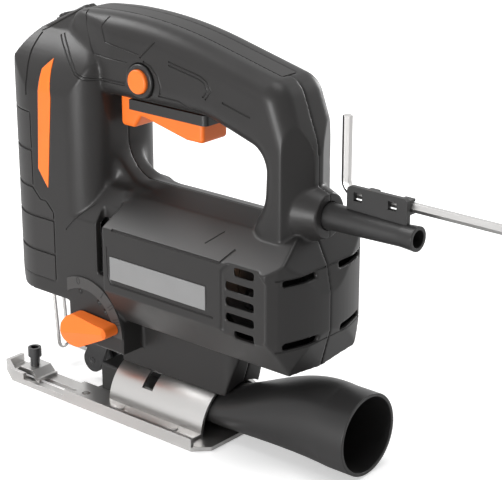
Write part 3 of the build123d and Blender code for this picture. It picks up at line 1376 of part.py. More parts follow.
with BuildPart() as plunger_yoke:
    add(
        span(
            (YOKE_FRONT, YOKE_REAR), (-YOKE_HALF, YOKE_HALF), (GEAR_Z - YOKE_TALL / 2, GEAR_Z + YOKE_TALL / 2)
        )
    )
    Cylinder(PLUNGER_R + RUN, FAR, align=(Align.CENTER, Align.CENTER, Align.MIN), mode=Mode.SUBTRACT)
    slot_half = CRANK_PIN_R + SEAT
    add(
        span(
            (YOKE_REAR - YOKE_SLOT_DEPTH + CREASE, FAR),
            (-CRANK - slot_half, CRANK + slot_half),
            (GEAR_Z - slot_half, GEAR_Z + slot_half),
        ),
        mode=Mode.SUBTRACT,
    )

with BuildPart() as blade_clamp:
    with Locations((0, 0, CLAMP_LOW)):
        Cylinder(CLAMP_R, CLAMP_TALL, align=(Align.CENTER, Align.CENTER, Align.MIN))
        Box(*BLADE_SLOT, BLADE_SLOT_DEPTH, align=(Align.CENTER, Align.CENTER, Align.MIN), mode=Mode.SUBTRACT)
    with Locations((0, 0, ROD_LOW)):
        Cylinder(PLUNGER_R + RUN, FAR, align=(Align.CENTER, Align.CENTER, Align.MIN), mode=Mode.SUBTRACT)

with BuildPart() as armature_shaft:
    with Locations(along_x(GEAR_FRONT, MOTOR_Z)):
        Cylinder(SHAFT_NOSE_R, GEAR_WIDTH, align=(Align.CENTER, Align.CENTER, Align.MIN))
    with Locations(along_x(gear_rear, MOTOR_Z)):
        Cylinder(SHAFT_R, SHAFT_REAR - gear_rear, align=(Align.CENTER, Align.CENTER, Align.MIN))

with BuildPart() as armature_core:
    with Locations(along_x(STATOR_FRONT, MOTOR_Z)):
        Cylinder(STATOR_BORE - CORE_GAP, STATOR_LENGTH, align=(Align.CENTER, Align.CENTER, Align.MIN))
        with PolarLocations(STATOR_BORE - CORE_GAP, CORE_SLOTS):
            Box(
                2 * CORE_SLOT_DEPTH,
                CORE_SLOT,
                STATOR_LENGTH,
                align=(Align.CENTER, Align.CENTER, Align.MIN),
                mode=Mode.SUBTRACT,
            )
        Cylinder(SHAFT_R + RUN, FAR, mode=Mode.SUBTRACT)

with BuildPart() as commutator:
    with Locations(along_x(COMMUTATOR_X, MOTOR_Z)):
        Cylinder(COMMUTATOR_R, COMMUTATOR_LENGTH, align=(Align.CENTER, Align.CENTER, Align.MIN))
        Cylinder(SHAFT_R + RUN, FAR, mode=Mode.SUBTRACT)

with BuildPart() as fan:
    with Locations(along_x(FAN_X, MOTOR_Z)):
        Cylinder(FAN_R, FAN_DISC, align=(Align.CENTER, Align.CENTER, Align.MIN))
        Cylinder(2 * SHAFT_R, FAN_DEPTH, align=(Align.CENTER, Align.CENTER, Align.MIN))
        with PolarLocations(FAN_R - FAN_BLADE[0] / 2, FAN_BLADES):
            Box(*FAN_BLADE, FAN_DEPTH, align=(Align.CENTER, Align.CENTER, Align.MIN))
        Cylinder(SHAFT_R + RUN, FAR, mode=Mode.SUBTRACT)

# Motor parts that stand still
with BuildPart() as stator:
    with Locations(along_x(STATOR_FRONT, MOTOR_Z)):
        Cylinder(STATOR_R, STATOR_LENGTH, align=(Align.CENTER, Align.CENTER, Align.MIN))
        Cylinder(STATOR_BORE, FAR, mode=Mode.SUBTRACT)

front_bearing_x = case_rear + (2 * WALL + PAD - BEARING_WIDTH) / 2
with BuildPart() as bearing_front:
    with Locations(along_x(front_bearing_x, MOTOR_Z)):
        Cylinder(FRONT_BEARING_R, BEARING_WIDTH, align=(Align.CENTER, Align.CENTER, Align.MIN))
        Cylinder(SHAFT_R + RUN, FAR, mode=Mode.SUBTRACT)

with BuildPart() as bearing_rear:
    with Locations(along_x(REAR_BEARING_X, MOTOR_Z)):
        Cylinder(REAR_BEARING_R, BEARING_WIDTH, align=(Align.CENTER, Align.CENTER, Align.MIN))
        Cylinder(SHAFT_R + RUN, FAR, mode=Mode.SUBTRACT)

brush_x = COMMUTATOR_X + (COMMUTATOR_LENGTH - BRUSH[0]) / 2
brush_low = COMMUTATOR_R + BRUSH_GAP
box_grow = BRUSH_BOX_WALL + SEAT / 2
with BuildPart() as brush_holders:
    with Locations(along_x(REAR_BEARING_X - RIB, MOTOR_Z)):
        Cylinder(BRUSH_PLATE_R, RIB - SEAT, align=(Align.CENTER, Align.CENTER, Align.MIN))
        Cylinder(BRUSH_PLATE_BORE, FAR, mode=Mode.SUBTRACT)
    for side in (-1, 1):
        tall = sorted((MOTOR_Z + side * (brush_low + 2 * MOVE), MOTOR_Z + side * (brush_low + BRUSH_LENGTH)))
        add(
            span(
                (brush_x - box_grow, REAR_BEARING_X - SEAT),
                (-BRUSH[1] / 2 - box_grow, BRUSH[1] / 2 + box_grow),
                tall,
            )
        )
    hollow = SEAT / 2
    add(
        span(
            (brush_x - hollow, brush_x + BRUSH[0] + hollow),
            (-BRUSH[1] / 2 - hollow, BRUSH[1] / 2 + hollow),
            (0, FAR),
        ),
        mode=Mode.SUBTRACT,
    )

with BuildPart() as carbon_brushes:
    for side in (-1, 1):
        tall = sorted((MOTOR_Z + side * brush_low, MOTOR_Z + side * (brush_low + BRUSH_LENGTH)))
        add(span((brush_x, brush_x + BRUSH[0]), (-BRUSH[1] / 2, BRUSH[1] / 2), tall))

pieces = {
    "housing_left": housing_left,
    "housing_right": housing_right,
    "housing_screws": housing_screws,
    "nose_pad": nose_pad,
    "accent_left": accent_left,
    "accent_right": accent_right,
    "grip_strip": grip_strip,
    "badge_left": badge_left,
    "orbit_dial": orbit_dial,
    "orbit_knob": orbit_knob,
    "trigger": trigger,
    "trigger_pin": trigger_pin,
    "trigger_frame": trigger_frame,
    "lock_collar": lock_collar,
    "lock_button": lock_button,
    "switch_body": switch_body,
    "speed_wheel": speed_wheel,
    "cable_boot": cable_boot,
    "key_holder": key_holder,
    "hex_key": hex_key,
    "wire_guard": wire_guard,
    "shoe_plate": shoe_plate,
    "fence_screw": fence_screw,
    "saddle": saddle,
    "saddle_rivets": saddle_rivets,
    "tilt_washer": tilt_washer,
    "tilt_bolt": tilt_bolt,
    "dust_duct": dust_duct,
    "dust_tube": dust_tube,
    "roller_fork": roller_fork,
    "fork_pin": fork_pin,
    "roller_pin": roller_pin,
    "roller": roller,
    "pinion": pinion,
    "drive_gear": drive_gear,
    "crank_pin": crank_pin,
    "gear_spindle": gear_spindle,
    "gear_frame": gear_frame,
    "plunger_bushes": plunger_bushes,
    "plunger": plunger,
    "plunger_yoke": plunger_yoke,
    "blade_clamp": blade_clamp,
    "armature_shaft": armature_shaft,
    "armature_core": armature_core,
    "commutator": commutator,
    "fan": fan,
    "stator": stator,
    "bearing_front": bearing_front,
    "bearing_rear": bearing_rear,
    "brush_holders": brush_holders,
    "carbon_brushes": carbon_brushes,
}

os.makedirs("parts", exist_ok=True)
for name, piece in pieces.items():
    piece.part.label = name
    export_step(piece.part, f"parts/{name}.step")
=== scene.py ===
# %% [markdown]
# # A jigsaw
# The tool was drawn as separate solids in a CAD script, and those solids are loaded here as a fixed
# frame. Blender now gives every piece that shows its finish: rounded mould edges, parting lines,
# grained plastic, rolled steel, soft studio light, and a camera where the photographer stood. All
# lengths are written in millimetres and turned into metres by one factor.

import json
import math

import bpy
from mathutils import Matrix, Vector


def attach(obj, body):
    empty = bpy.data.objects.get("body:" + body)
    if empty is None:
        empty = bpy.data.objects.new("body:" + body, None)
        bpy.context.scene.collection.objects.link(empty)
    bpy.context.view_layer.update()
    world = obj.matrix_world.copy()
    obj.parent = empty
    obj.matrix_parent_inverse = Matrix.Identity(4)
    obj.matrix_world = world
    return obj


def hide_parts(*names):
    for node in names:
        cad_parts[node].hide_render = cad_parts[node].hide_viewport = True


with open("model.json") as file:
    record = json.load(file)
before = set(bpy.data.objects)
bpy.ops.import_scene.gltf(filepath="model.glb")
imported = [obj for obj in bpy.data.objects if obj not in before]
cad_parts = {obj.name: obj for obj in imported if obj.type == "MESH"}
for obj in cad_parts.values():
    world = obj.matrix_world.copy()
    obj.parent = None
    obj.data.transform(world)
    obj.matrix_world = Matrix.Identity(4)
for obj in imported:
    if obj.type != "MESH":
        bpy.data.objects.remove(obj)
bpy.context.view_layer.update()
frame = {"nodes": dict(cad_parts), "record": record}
MM = 0.001
record = frame["record"]
body_of_node = {node: body for body, nodes in record["behaviour"]["bodies"].items() for node in nodes}
slot_of_node = {row["node"]: row["material_slot"] for row in record["subparts"]}
print("solids loaded:", len(frame["nodes"]), "on bodies:", len(set(body_of_node.values())))

# %% [markdown]
# ## Moulded grain
# Moulded plastic is never quite even: the mould is spark-eroded, and its fine grain breaks up the
# gloss. A picture of grain would need every piece unwrapped first. Noise on the object's own
# coordinates needs no unwrapping, so a fine noise makes the grain and a coarse one clouds the gloss and
# the colour. Both sit in one node group, which every plastic places with its own values.

# %% Grain group
GRAIN_SCALE = 2600.0
CLOUD_SCALE = 60.0
NOISE_DETAIL = 3.0
TINT_LOW, TINT_HIGH = 0.92, 1.08


def new_group(name, inputs, outputs):
    """Start a shader node group with named sockets."""
    group = bpy.data.node_groups.new(name, "ShaderNodeTree")
    for title, kind, value in inputs:
        socket = group.interface.new_socket(title, in_out="INPUT", socket_type=kind)
        socket.default_value = value
    for title, kind in outputs:
        group.interface.new_socket(title, in_out="OUTPUT", socket_type=kind)
    return group, group.nodes.new("NodeGroupInput"), group.nodes.new("NodeGroupOutput")


def noise_node(tree, scale):
    """A noise texture on the object's own coordinates."""
    place = tree.nodes.new("ShaderNodeTexCoord")
    noise = tree.nodes.new("ShaderNodeTexNoise")
    noise.inputs["Scale"].default_value = scale
    noise.inputs["Detail"].default_value = NOISE_DETAIL
    tree.links.new(place.outputs["Object"], noise.inputs["Vector"])
    return noise


def range_node(tree, value, low, high):
    """Map a 0 to 1 value onto a range whose ends are numbers or sockets."""
    node = tree.nodes.new("ShaderNodeMapRange")
    tree.links.new(value, node.inputs["Value"])
    for socket, end in (("To Min", low), ("To Max", high)):
        if isinstance(end, (int, float)):
            node.inputs[socket].default_value = end
        else:
            tree.links.new(end, node.inputs[socket])
    return node.outputs["Result"]


grain_group, grain_in, grain_out = new_group(
    "moulded_grain",
    [
        ("Colour", "NodeSocketColor", (0.05, 0.05, 0.05, 1)),
        ("Smooth", "NodeSocketFloat", 0.4),
        ("Rough", "NodeSocketFloat", 0.5),
    ],
    [("Colour", "NodeSocketColor"), ("Roughness", "NodeSocketFloat"), ("Height", "NodeSocketFloat")],
)
fine = noise_node(grain_group, GRAIN_SCALE)
cloud = noise_node(grain_group, CLOUD_SCALE)
grain_group.links.new(fine.outputs["Fac"], grain_out.inputs["Height"])
grain_group.links.new(
    range_node(grain_group, cloud.outputs["Fac"], grain_in.outputs["Smooth"], grain_in.outputs["Rough"]),
    grain_out.inputs["Roughness"],
)
tint = grain_group.nodes.new("ShaderNodeHueSaturation")
grain_group.links.new(grain_in.outputs["Colour"], tint.inputs["Color"])
clouded = range_node(grain_group, cloud.outputs["Fac"], TINT_LOW, TINT_HIGH)
grain_group.links.new(clouded, tint.inputs["Value"])
grain_group.links.new(tint.outputs["Color"], grain_out.inputs["Colour"])
print("grain group nodes:", len(grain_group.nodes))

# %% [markdown]
# ## Rolled steel
# Sheet and bar leave the rolls with faint lines along their length, which smear reflections sideways.
# An anisotropic shader could do that, but it needs tangents along every piece. Here a fine noise is
# stretched along the tool instead, and it drives the roughness and a very low relief.

# %% Rolled steel group
ROLL_STRETCH = (0.04, 1.0, 1.0)
rolled_group, rolled_in, rolled_out = new_group(
    "rolled_lines",
    [("Smooth", "NodeSocketFloat", 0.2), ("Rough", "NodeSocketFloat", 0.35)],
    [("Roughness", "NodeSocketFloat"), ("Height", "NodeSocketFloat")],
)
rolled_place = rolled_group.nodes.new("ShaderNodeTexCoord")
stretch = rolled_group.nodes.new("ShaderNodeMapping")
stretch.inputs["Scale"].default_value = ROLL_STRETCH
streaks = rolled_group.nodes.new("ShaderNodeTexNoise")
streaks.inputs["Scale"].default_value = GRAIN_SCALE
rolled_group.links.new(rolled_place.outputs["Object"], stretch.inputs["Vector"])
rolled_group.links.new(stretch.outputs["Vector"], streaks.inputs["Vector"])
rolled_group.links.new(streaks.outputs["Fac"], rolled_out.inputs["Height"])
rolled_ends = rolled_in.outputs["Smooth"], rolled_in.outputs["Rough"]
rolled_gloss = range_node(rolled_group, streaks.outputs["Fac"], *rolled_ends)
rolled_group.links.new(rolled_gloss, rolled_out.inputs["Roughness"])
print("rolled steel group nodes:", len(rolled_group.nodes))

# %% [markdown]
# ## Two kinds of material
# Nearly everything on the tool is moulded plastic or bare metal. Each kind could be built by hand again
# and again, but a recipe that takes a colour and a range of roughness keeps them alike. Values that are
# even all over the surface go straight onto the shader, and only what varies comes from the node
# groups.

# %% Plastic and metal
GRAIN_DEPTH = 0.05
ROLL_BUMP, ROLL_DEPTH = 0.04, 0.01


def new_material(name):
    """A material with an empty Principled shader."""
    material = bpy.data.materials.new(name)
    material.use_nodes = True
    return material, material.node_tree, material.node_tree.nodes["Principled BSDF"]


def place_group(tree, group, **values):
    """Put a node group into a material with its own values."""
    node = tree.nodes.new("ShaderNodeGroup")
    node.node_tree = group
    for title, value in values.items():
        node.inputs[title].default_value = value
    return node


def add_bump(tree, shader, height, strength, distance):
    """Feed a height into the shader's normal."""
    bump = tree.nodes.new("ShaderNodeBump")
    bump.inputs["Strength"].default_value = strength
    bump.inputs["Distance"].default_value = distance * MM
    tree.links.new(height, bump.inputs["Height"])
    tree.links.new(bump.outputs["Normal"], shader.inputs["Normal"])


def plastic(name, colour, smooth, rough, bump=0.15, specular=0.5):
    """Moulded plastic with spark grain."""
    material, tree, shader = new_material(name)
    shader.inputs["Specular IOR Level"].default_value = specular
    grain = place_group(tree, grain_group, Colour=(*colour, 1), Smooth=smooth, Rough=rough)
    tree.links.new(grain.outputs["Colour"], shader.inputs["Base Color"])
    tree.links.new(grain.outputs["Roughness"], shader.inputs["Roughness"])
    add_bump(tree, shader, grain.outputs["Height"], bump, GRAIN_DEPTH)
    return material


def steel(name, colour, smooth, rough):
    """Bare metal with rolling lines."""
    material, tree, shader = new_material(name)
    shader.inputs["Base Color"].default_value = (*colour, 1)
    shader.inputs["Metallic"].default_value = 1.0
    drawn = place_group(tree, rolled_group, Smooth=smooth, Rough=rough)
    tree.links.new(drawn.outputs["Roughness"], shader.inputs["Roughness"])
    add_bump(tree, shader, drawn.outputs["Height"], ROLL_BUMP, ROLL_DEPTH)
    return material


print("recipes:", plastic.__doc__, steel.__doc__)

# %% [markdown]
# ## Finishes
# The shell is charcoal, the pieces that a hand works are orange, and the sole is bright sheet. Every
# solid already names the finish it wants, so the finishes are kept in a table under those names and
# handed out in one loop.

# %% Hand out the finishes
finishes = {
    "shell": plastic("charcoal_plastic", (0.021, 0.0200, 0.0197), 0.34, 0.43, specular=0.26),
    "soft_grip": plastic("soft_charcoal", (0.027, 0.0258, 0.0255), 0.42, 0.52, bump=0.3, specular=0.28),
    "accent": plastic("orange_plastic", (0.86, 0.170, 0.020), 0.34, 0.44, bump=0.08, specular=0.35),
    "badge": plastic("grey_plate", (0.20, 0.20, 0.20), 0.32, 0.42, bump=0.05),
    "black_plastic": plastic("black_plastic", (0.017, 0.0165, 0.0165), 0.33, 0.44, specular=0.40),
    "bright_steel": steel("rolled_steel", (0.58, 0.57, 0.56), 0.26, 0.40),
    "steel": steel("ground_steel", (0.50, 0.50, 0.51), 0.25, 0.4),
    "black_steel": plastic("black_oxide", (0.014, 0.014, 0.015), 0.3, 0.4, bump=0.05, specular=0.7),
    "cast": steel("die_cast", (0.6, 0.6, 0.6), 0.4, 0.55),
    "laminate": steel("stacked_sheet", (0.3, 0.3, 0.31), 0.4, 0.55),
    "copper": steel("turned_copper", (0.72, 0.42, 0.25), 0.3, 0.4),
    "carbon": plastic("pressed_carbon", (0.03, 0.03, 0.03), 0.6, 0.7),
}


def finish_with(piece, slot):
    """Give a piece one finish all over."""
    piece.data.materials.clear()
    piece.data.materials.append(finishes[slot])


for node, obj in frame["nodes"].items():
    finish_with(obj, slot_of_node[node])
print("finishes:", ", ".join(sorted(finishes)))

# %% [markdown]
# ## Twins of the solids
# A solid's own mesh stays as it is, so a piece that needs rounding or grooves starts as a twin of it.
# The loose triangles of the twin are joined and its flat areas become single faces, because a bevel or
# a remesh can only follow edges that belong together. The twin rides on the same body and stands in for
# the solid. The two halves of the housing are the first to get one.

# %% Twins of the housing halves
JOIN_DISTANCE = 0.001
FLAT_ANGLE = 0.5
LEFT, RIGHT = -1, 1


def only(piece):
    """Select one object and make it the active one."""
    if bpy.context.object and bpy.context.object.mode != "OBJECT":
        bpy.ops.object.mode_set(mode="OBJECT")
    bpy.ops.object.select_all(action="DESELECT")
    piece.select_set(True)
    bpy.context.view_layer.objects.active = piece


def twin(node):
    """Copy a solid, join its triangles and let the copy stand in for it."""
    source = frame["nodes"][node]
    piece = bpy.data.objects.new(node + "_finished", source.data.copy())
    bpy.context.scene.collection.objects.link(piece)
    only(piece)
    bpy.ops.object.mode_set(mode="EDIT")
    bpy.ops.mesh.select_all(action="SELECT")
    bpy.ops.mesh.remove_doubles(threshold=JOIN_DISTANCE * MM)
    bpy.ops.mesh.dissolve_limited(angle_limit=math.radians(FLAT_ANGLE))
    bpy.ops.object.mode_set(mode="OBJECT")
    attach(piece, body_of_node[node])
    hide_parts(node)
    return piece


halves = {LEFT: twin("housing_left"), RIGHT: twin("housing_right")}
for piece in halves.values():
    print(piece.name, "faces to start with:", len(piece.data.polygons))

# %% [markdown]
# ## Housing halves
# The real housing is two plastic shells whose forms flow into each other with generous radii. A bevel
# cannot follow junctions like these, so each half is remeshed into an even net of small faces and then
# relaxed, which rounds every edge as a toolmaker's cutter would. The flat joint face rounds too, and
# that leaves the parting line between the halves. The root of the neck and the sides of the crown flow
# more softly, so there the relaxing goes on for longer.

# %% Remesh and relax the halves
HOUSING_VOXEL = 0.65
RELAX_ROUNDS = 4
RELAX_PULL = 0.5
KEPT_SHARE = 0.3
# Centre and reach of each blend, how far it keeps from the joint face, and its rounds of relaxing
BLENDS = {
    "neck_root": ((46, 0, 124), (27, 22, 27), 0.8, 200),
    "crown_left": ((18, -17, 184), (25, 13, 23), 6.0, 90),
    "crown_right": ((18, 17, 184), (25, 13, 23), 6.0, 90),
}
BLEND_EDGE = 0.35


def apply_modifier(piece, kind, **settings):
    """Add one modifier, set it up and apply it."""
    only(piece)
    modifier = piece.modifiers.new(kind.lower(), kind)
    for key, value in settings.items():
        setattr(modifier, key, value)
    bpy.ops.object.modifier_apply(modifier=modifier.name)


def soften(piece, name, centre, reach, clear, rounds):
    """Relax one egg-shaped region much further, fading out at its edge and leaving the joint face alone."""
    group = piece.vertex_groups.new(name=name)
    for vertex in piece.data.vertices:
        spot = vertex.co / MM
        away = math.sqrt(sum(((spot[i] - centre[i]) / reach[i]) ** 2 for i in range(3)))
        if away < 1 and abs(spot.y) > clear:
            group.add([vertex.index], min(1, (1 - away) / BLEND_EDGE), "REPLACE")
    apply_modifier(piece, "SMOOTH", vertex_group=name, factor=RELAX_PULL, iterations=rounds)


for piece in halves.values():
    apply_modifier(piece, "REMESH", mode="VOXEL", voxel_size=HOUSING_VOXEL * MM, adaptivity=0.0)
    apply_modifier(piece, "SMOOTH", factor=RELAX_PULL, iterations=RELAX_ROUNDS)
    for name, (centre, reach, clear, rounds) in BLENDS.items():
        soften(piece, name, centre, reach, clear, rounds)
    apply_modifier(piece, "DECIMATE", decimate_type="COLLAPSE", ratio=KEPT_SHARE)
    print(piece.name, "faces after relaxing:", len(piece.data.polygons))

# %% [markdown]
# ## Mould lines
# Fine lines run over the nose and the grip where the soft overmould meets the hard shell, and two more
# run round the end cap and join its air notches into bands. On the tool they are narrow channels. Bump
# in a material would draw them too, but a bare mesh would lose it, so they are cut. Each line is listed
# with the radius of its channel and its corners: x and z in the side view, or y outwards and z in the
# rear view for the cap.

# %% List the lines
BOTH_LINES = {
    "nose_pair_outer": (
        0.5,
        ((0.8, 182.6), (9.5, 177.3), (16.3, 172.2), (21.5, 168.2), (28.3, 166.1), (49.4, 166.3)),
    ),
    "nose_pair_inner": (
        0.5,
        ((2.2, 183.4), (10.5, 178.5), (17.0, 173.6), (22.5, 169.0), (29.5, 167.3), (49.9, 167.5)),
    ),
    "nose_front_edge": (0.6, ((-11.6, 182.2), (-11.7, 174.5), (-9.8, 162.5), (-10.0, 153.3))),
    "slope_rim": (0.55, ((-12.6, 182.6), (-2.5, 188.6), (8.0, 194.8))),
    "grip_edge": (
        0.5,
        ((18.6, 196.9), (21.2, 194.0), (22.5, 187.4), (25.0, 181.1), (28.1, 177.9), (51.0, 177.6)),
    ),
    "grip_hex": (0.55, ((36.4, 196.6), (34.1, 191.9), (36.6, 185.3), (58.7, 182.4))),
    "grip_tick": (0.5, ((69.0, 189.6), (59.5, 181.0))),
    "grip_pair_upper": (0.5, ((77.7, 182.1), (97.0, 178.6), (101.2, 176.6), (103.6, 172.3), (99.9, 168.0))),
    "grip_pair_lower": (0.5, ((77.7, 180.4), (96.4, 177.0), (99.4, 175.6), (101.4, 172.3), (98.4, 168.8))),
    "grip_tail": (0.55, ((110.1, 168.4), (126.5, 164.4))),
    "grip_low_edge": (0.6, ((70.5, 164.6), (83.2, 164.4), (89.2, 161.4), (96.0, 161.2))),
    "case_crease": (0.4, ((14.9, 89.4), (23.5, 98.1), (31.2, 104.9))),
    "motor_shoulder": (0.8, ((54.1, 100.0), (122.4, 99.9), (125.0, 104.6))),
    "roof_tick": (0.5, ((107.6, 103.9), (112.6, 108.6))),
}
LEFT_LINES = {
    "lock_arc": (0.6, ((61.5, 179.6), (66.3, 178.4), (70.7, 174.3), (72.6, 169.0), (71.6, 165.6))),
    "plate_frame": (0.7, ((50.9, 90.9), (51.2, 76.0), (53.0, 72.4), (118.5, 72.4))),
}
CAP_LINES = {
    "cap_band_upper": (0.5, ((1.2, 97.2), (31.0, 97.2))),
    "cap_band_lower": (0.5, ((1.2, 63.0), (31.0, 63.0))),
}
flank_lines = {LEFT: {**BOTH_LINES, **LEFT_LINES}, RIGHT: BOTH_LINES}
for side, lines in flank_lines.items():
    print("side", side, "lines on the flank:", len(lines), "on the cap:", len(CAP_LINES))

# %% [markdown]
# ## Laying the lines on the shell
# A channel has to follow the curved surface at an even depth. Projecting a whole cutter would tear on
# the steep parts of the crown, so each line is walked in short steps, and at each step a ray from
# outside finds the surface.

# %% Find the surface along each line
STEP = 2.0
FLANK_START = 100
REAR_START = 200


def flank_spot(piece, x, z, side):
    """The place where a ray from one side meets a piece, or None."""
    start = Vector((x * MM, side * FLANK_START * MM, z * MM))
    hit, spot, _, _ = piece.ray_cast(start, Vector((0, -side, 0)))
    return spot if hit else None


def surface_path(piece, points, side):
    """Lay a side-view path onto the flank of a piece and return points on its surface."""
    track = []
    for (x0, z0), (x1, z1) in zip(points, points[1:]):
        count = max(2, int(math.hypot(x1 - x0, z1 - z0) / STEP))
        track += [(x0 + (x1 - x0) * i / count, z0 + (z1 - z0) * i / count) for i in range(count)]
    track.append(points[-1])
    spots = [flank_spot(piece, x, z, side) for x, z in track]
    return [spot for spot in spots if spot is not None]


def rear_path(piece, points, side):
    """Lay a rear-view path, y outwards and z, onto the end cap and return points on its surface."""
    (y0, z0), (y1, z1) = points
    count = int((y1 - y0) / STEP)
    found = []
    for i in range(count + 1):
        y, z = y0 + (y1 - y0) * i / count, z0 + (z1 - z0) * i / count
        start = Vector((REAR_START * MM, side * y * MM, z * MM))
        hit, spot, _, _ = piece.ray_cast(start, Vector((-1, 0, 0)))
        if hit:
            found.append(spot)
    return found


paths = {}
for side, piece in halves.items():
    on_flank = {name: surface_path(piece, points, side) for name, (_, points) in flank_lines[side].items()}
    on_cap = {name: rear_path(piece, points, side) for name, (_, points) in CAP_LINES.items()}
    paths[side] = {**on_flank, **on_cap}
    print(piece.name, "spots:", {name: len(path) for name, path in paths[side].items()})

# %% [markdown]
# ## Cutting the lines
# Through the spots of each line runs a thin round bar, a curve with a round section that is made a
# mesh. It is subtracted from the half. The lines have to stay crisp, so they come after the relaxing.

# %% Cut the channels
def channel_cutter(name, spots, radius):
    """A round bar that follows the spots, as a closed mesh."""
    bpy.ops.object.select_all(action="DESELECT")
    curve = bpy.data.curves.new(name, "CURVE")
    curve.dimensions = "3D"
    curve.bevel_depth = radius * MM
    curve.bevel_resolution = 1
    curve.use_fill_caps = True
    spline = curve.splines.new("POLY")
    spline.points.add(len(spots) - 1)
    for point, spot in zip(spline.points, spots):
        point.co = (*spot, 1)
    bar = bpy.data.objects.new(name, curve)
    bpy.context.scene.collection.objects.link(bar)
    only(bar)
    bpy.ops.object.convert(target="MESH")
    bar = bpy.context.object
    bpy.ops.object.mode_set(mode="EDIT")
    bpy.ops.mesh.select_all(action="SELECT")
    bpy.ops.mesh.remove_doubles(threshold=JOIN_DISTANCE * MM)
    bpy.ops.mesh.normals_make_consistent(inside=False)
    bpy.ops.object.mode_set(mode="OBJECT")
    return bar


def cut(piece, cutter):
    """Subtract a cutter from a piece and throw the cutter away."""
    apply_modifier(piece, "BOOLEAN", object=cutter, operation="DIFFERENCE", solver="MANIFOLD")
    bpy.data.objects.remove(cutter, do_unlink=True)


for side, piece in halves.items():
    for name, (radius, _) in {**flank_lines[side], **CAP_LINES}.items():
        before = len(piece.data.polygons)
        cut(piece, channel_cutter(name, paths[side][name], radius))
        print(name, "new faces:", len(piece.data.polygons) - before)

# %% [markdown]
# ## Detents of the selector
# Behind the selector knob the flank has a shallow round dimple for each position, where the knob's
# sprung ball drops in. They could be pushed in by hand with proportional editing, but a small sphere
# that is cut out at each place, on a circle round the knob's axis, gives a clean rim.

# %% Cut the detent dimples
DIAL_CENTRE = (26.7, 41.0)
SCALE = {"0": -9, "I": 33, "II": 51, "III": 70}
DETENT_CIRCLE = 18.4
DETENT_BALL = 1.9
BALL_OUT = 0.6


def on_dial(angle, radius):
    """A place round the knob's axis, by its angle from straight up."""
    turn = math.radians(angle)
    return DIAL_CENTRE[0] + radius * math.sin(turn), DIAL_CENTRE[1] + radius * math.cos(turn)


for angle in SCALE.values():
    spot = flank_spot(halves[LEFT], *on_dial(angle, DETENT_CIRCLE), LEFT)
    bpy.ops.object.select_all(action="DESELECT")
    bpy.ops.mesh.primitive_uv_sphere_add(segments=20, ring_count=12, radius=DETENT_BALL * MM, location=spot)
    ball = bpy.context.object
    bpy.ops.transform.translate(value=(0, -BALL_OUT * DETENT_BALL * MM, 0))
    bpy.ops.object.transform_apply(location=True, rotation=True, scale=True)
    cut(halves[LEFT], ball)
print("dimples:", len(SCALE))

# %% [markdown]
# ## Shading the housing
# With all its lines cut, each half gets its finish. Plain smooth shading would smear the channels, so
# only bends below a limit are smoothed and the rims of the channels stay sharp.

# %% Shade the halves
SHELL_ANGLE = 40


def shade(piece, angle):
    """Shade smooth across gentle bends and leave real edges sharp."""
    only(piece)
    bpy.ops.object.shade_smooth_by_angle(angle=math.radians(angle))


for side, node in ((LEFT, "housing_left"), (RIGHT, "housing_right")):
    shade(halves[side], SHELL_ANGLE)
    finish_with(halves[side], slot_of_node[node])
    print(node, "faces:", len(halves[side].data.polygons))

# %% [markdown]
# ## Small moulded pieces
# The trigger, knob, button, wheel and holder are small mouldings with broken edges. Their solids
# already have the right outline, so a remesh would only blur them, and a narrow bevel on each edge is
# all that the light needs. Weighted normals then keep the large faces flat beside the bevels.

# %% Ease the edges of small pieces
BEVEL_SEGMENTS = 2
BEVEL_ANGLE = 32
EASED_ANGLE = 50
FACE_WEIGHT = 100
EASED = {
    "trigger": 0.5,
    "trigger_frame": 0.5,
    "orbit_knob": 0.45,
    "lock_button": 0.3,
    "lock_collar": 0.3,
    "speed_wheel": 0.25,
    "key_holder": 0.35,
    "nose_pad": 0.3,
    "accent_left": 0.12,
    "accent_right": 0.12,
    "grip_strip": 0.2,
    "badge_left": 0.15,
    "orbit_dial": 0.12,
    "fence_screw": 0.25,
    "roller_fork": 0.4,
    "roller": 0.2,
    "blade_clamp": 0.4,
    "dust_duct": 0.25,
    "saddle_rivets": 0.3,
    "hex_key": 0.12,
    "cable_boot": 0.3,
    "dust_tube": 0.4,
    "wire_guard": 0.1,
}


def eased_twin(node, width):
    """A twin whose edges are rounded the way a tool or a tumbler leaves them, in the solid's own finish."""
    piece = twin(node)
    apply_modifier(
        piece,
        "BEVEL",
        width=width * MM,
        segments=BEVEL_SEGMENTS,
        limit_method="ANGLE",
        angle_limit=math.radians(BEVEL_ANGLE),
        use_clamp_overlap=True,
    )
    shade(piece, EASED_ANGLE)
    apply_modifier(piece, "WEIGHTED_NORMAL", weight=FACE_WEIGHT, keep_sharp=True)
    finish_with(piece, slot_of_node[node])
    return piece


eased = {node: eased_twin(node, width) for node, width in EASED.items()}
print("eased pieces:", len(eased))

# %% [markdown]
# ## Scale of the selector
# The grey rim round the knob carries plain marks for the four settings. They are printed in black. A
# picture would need an unwrapped rim, so each mark is a text object of hardly any thickness, made a
# mesh, turned to point away from the knob and laid on the rim.

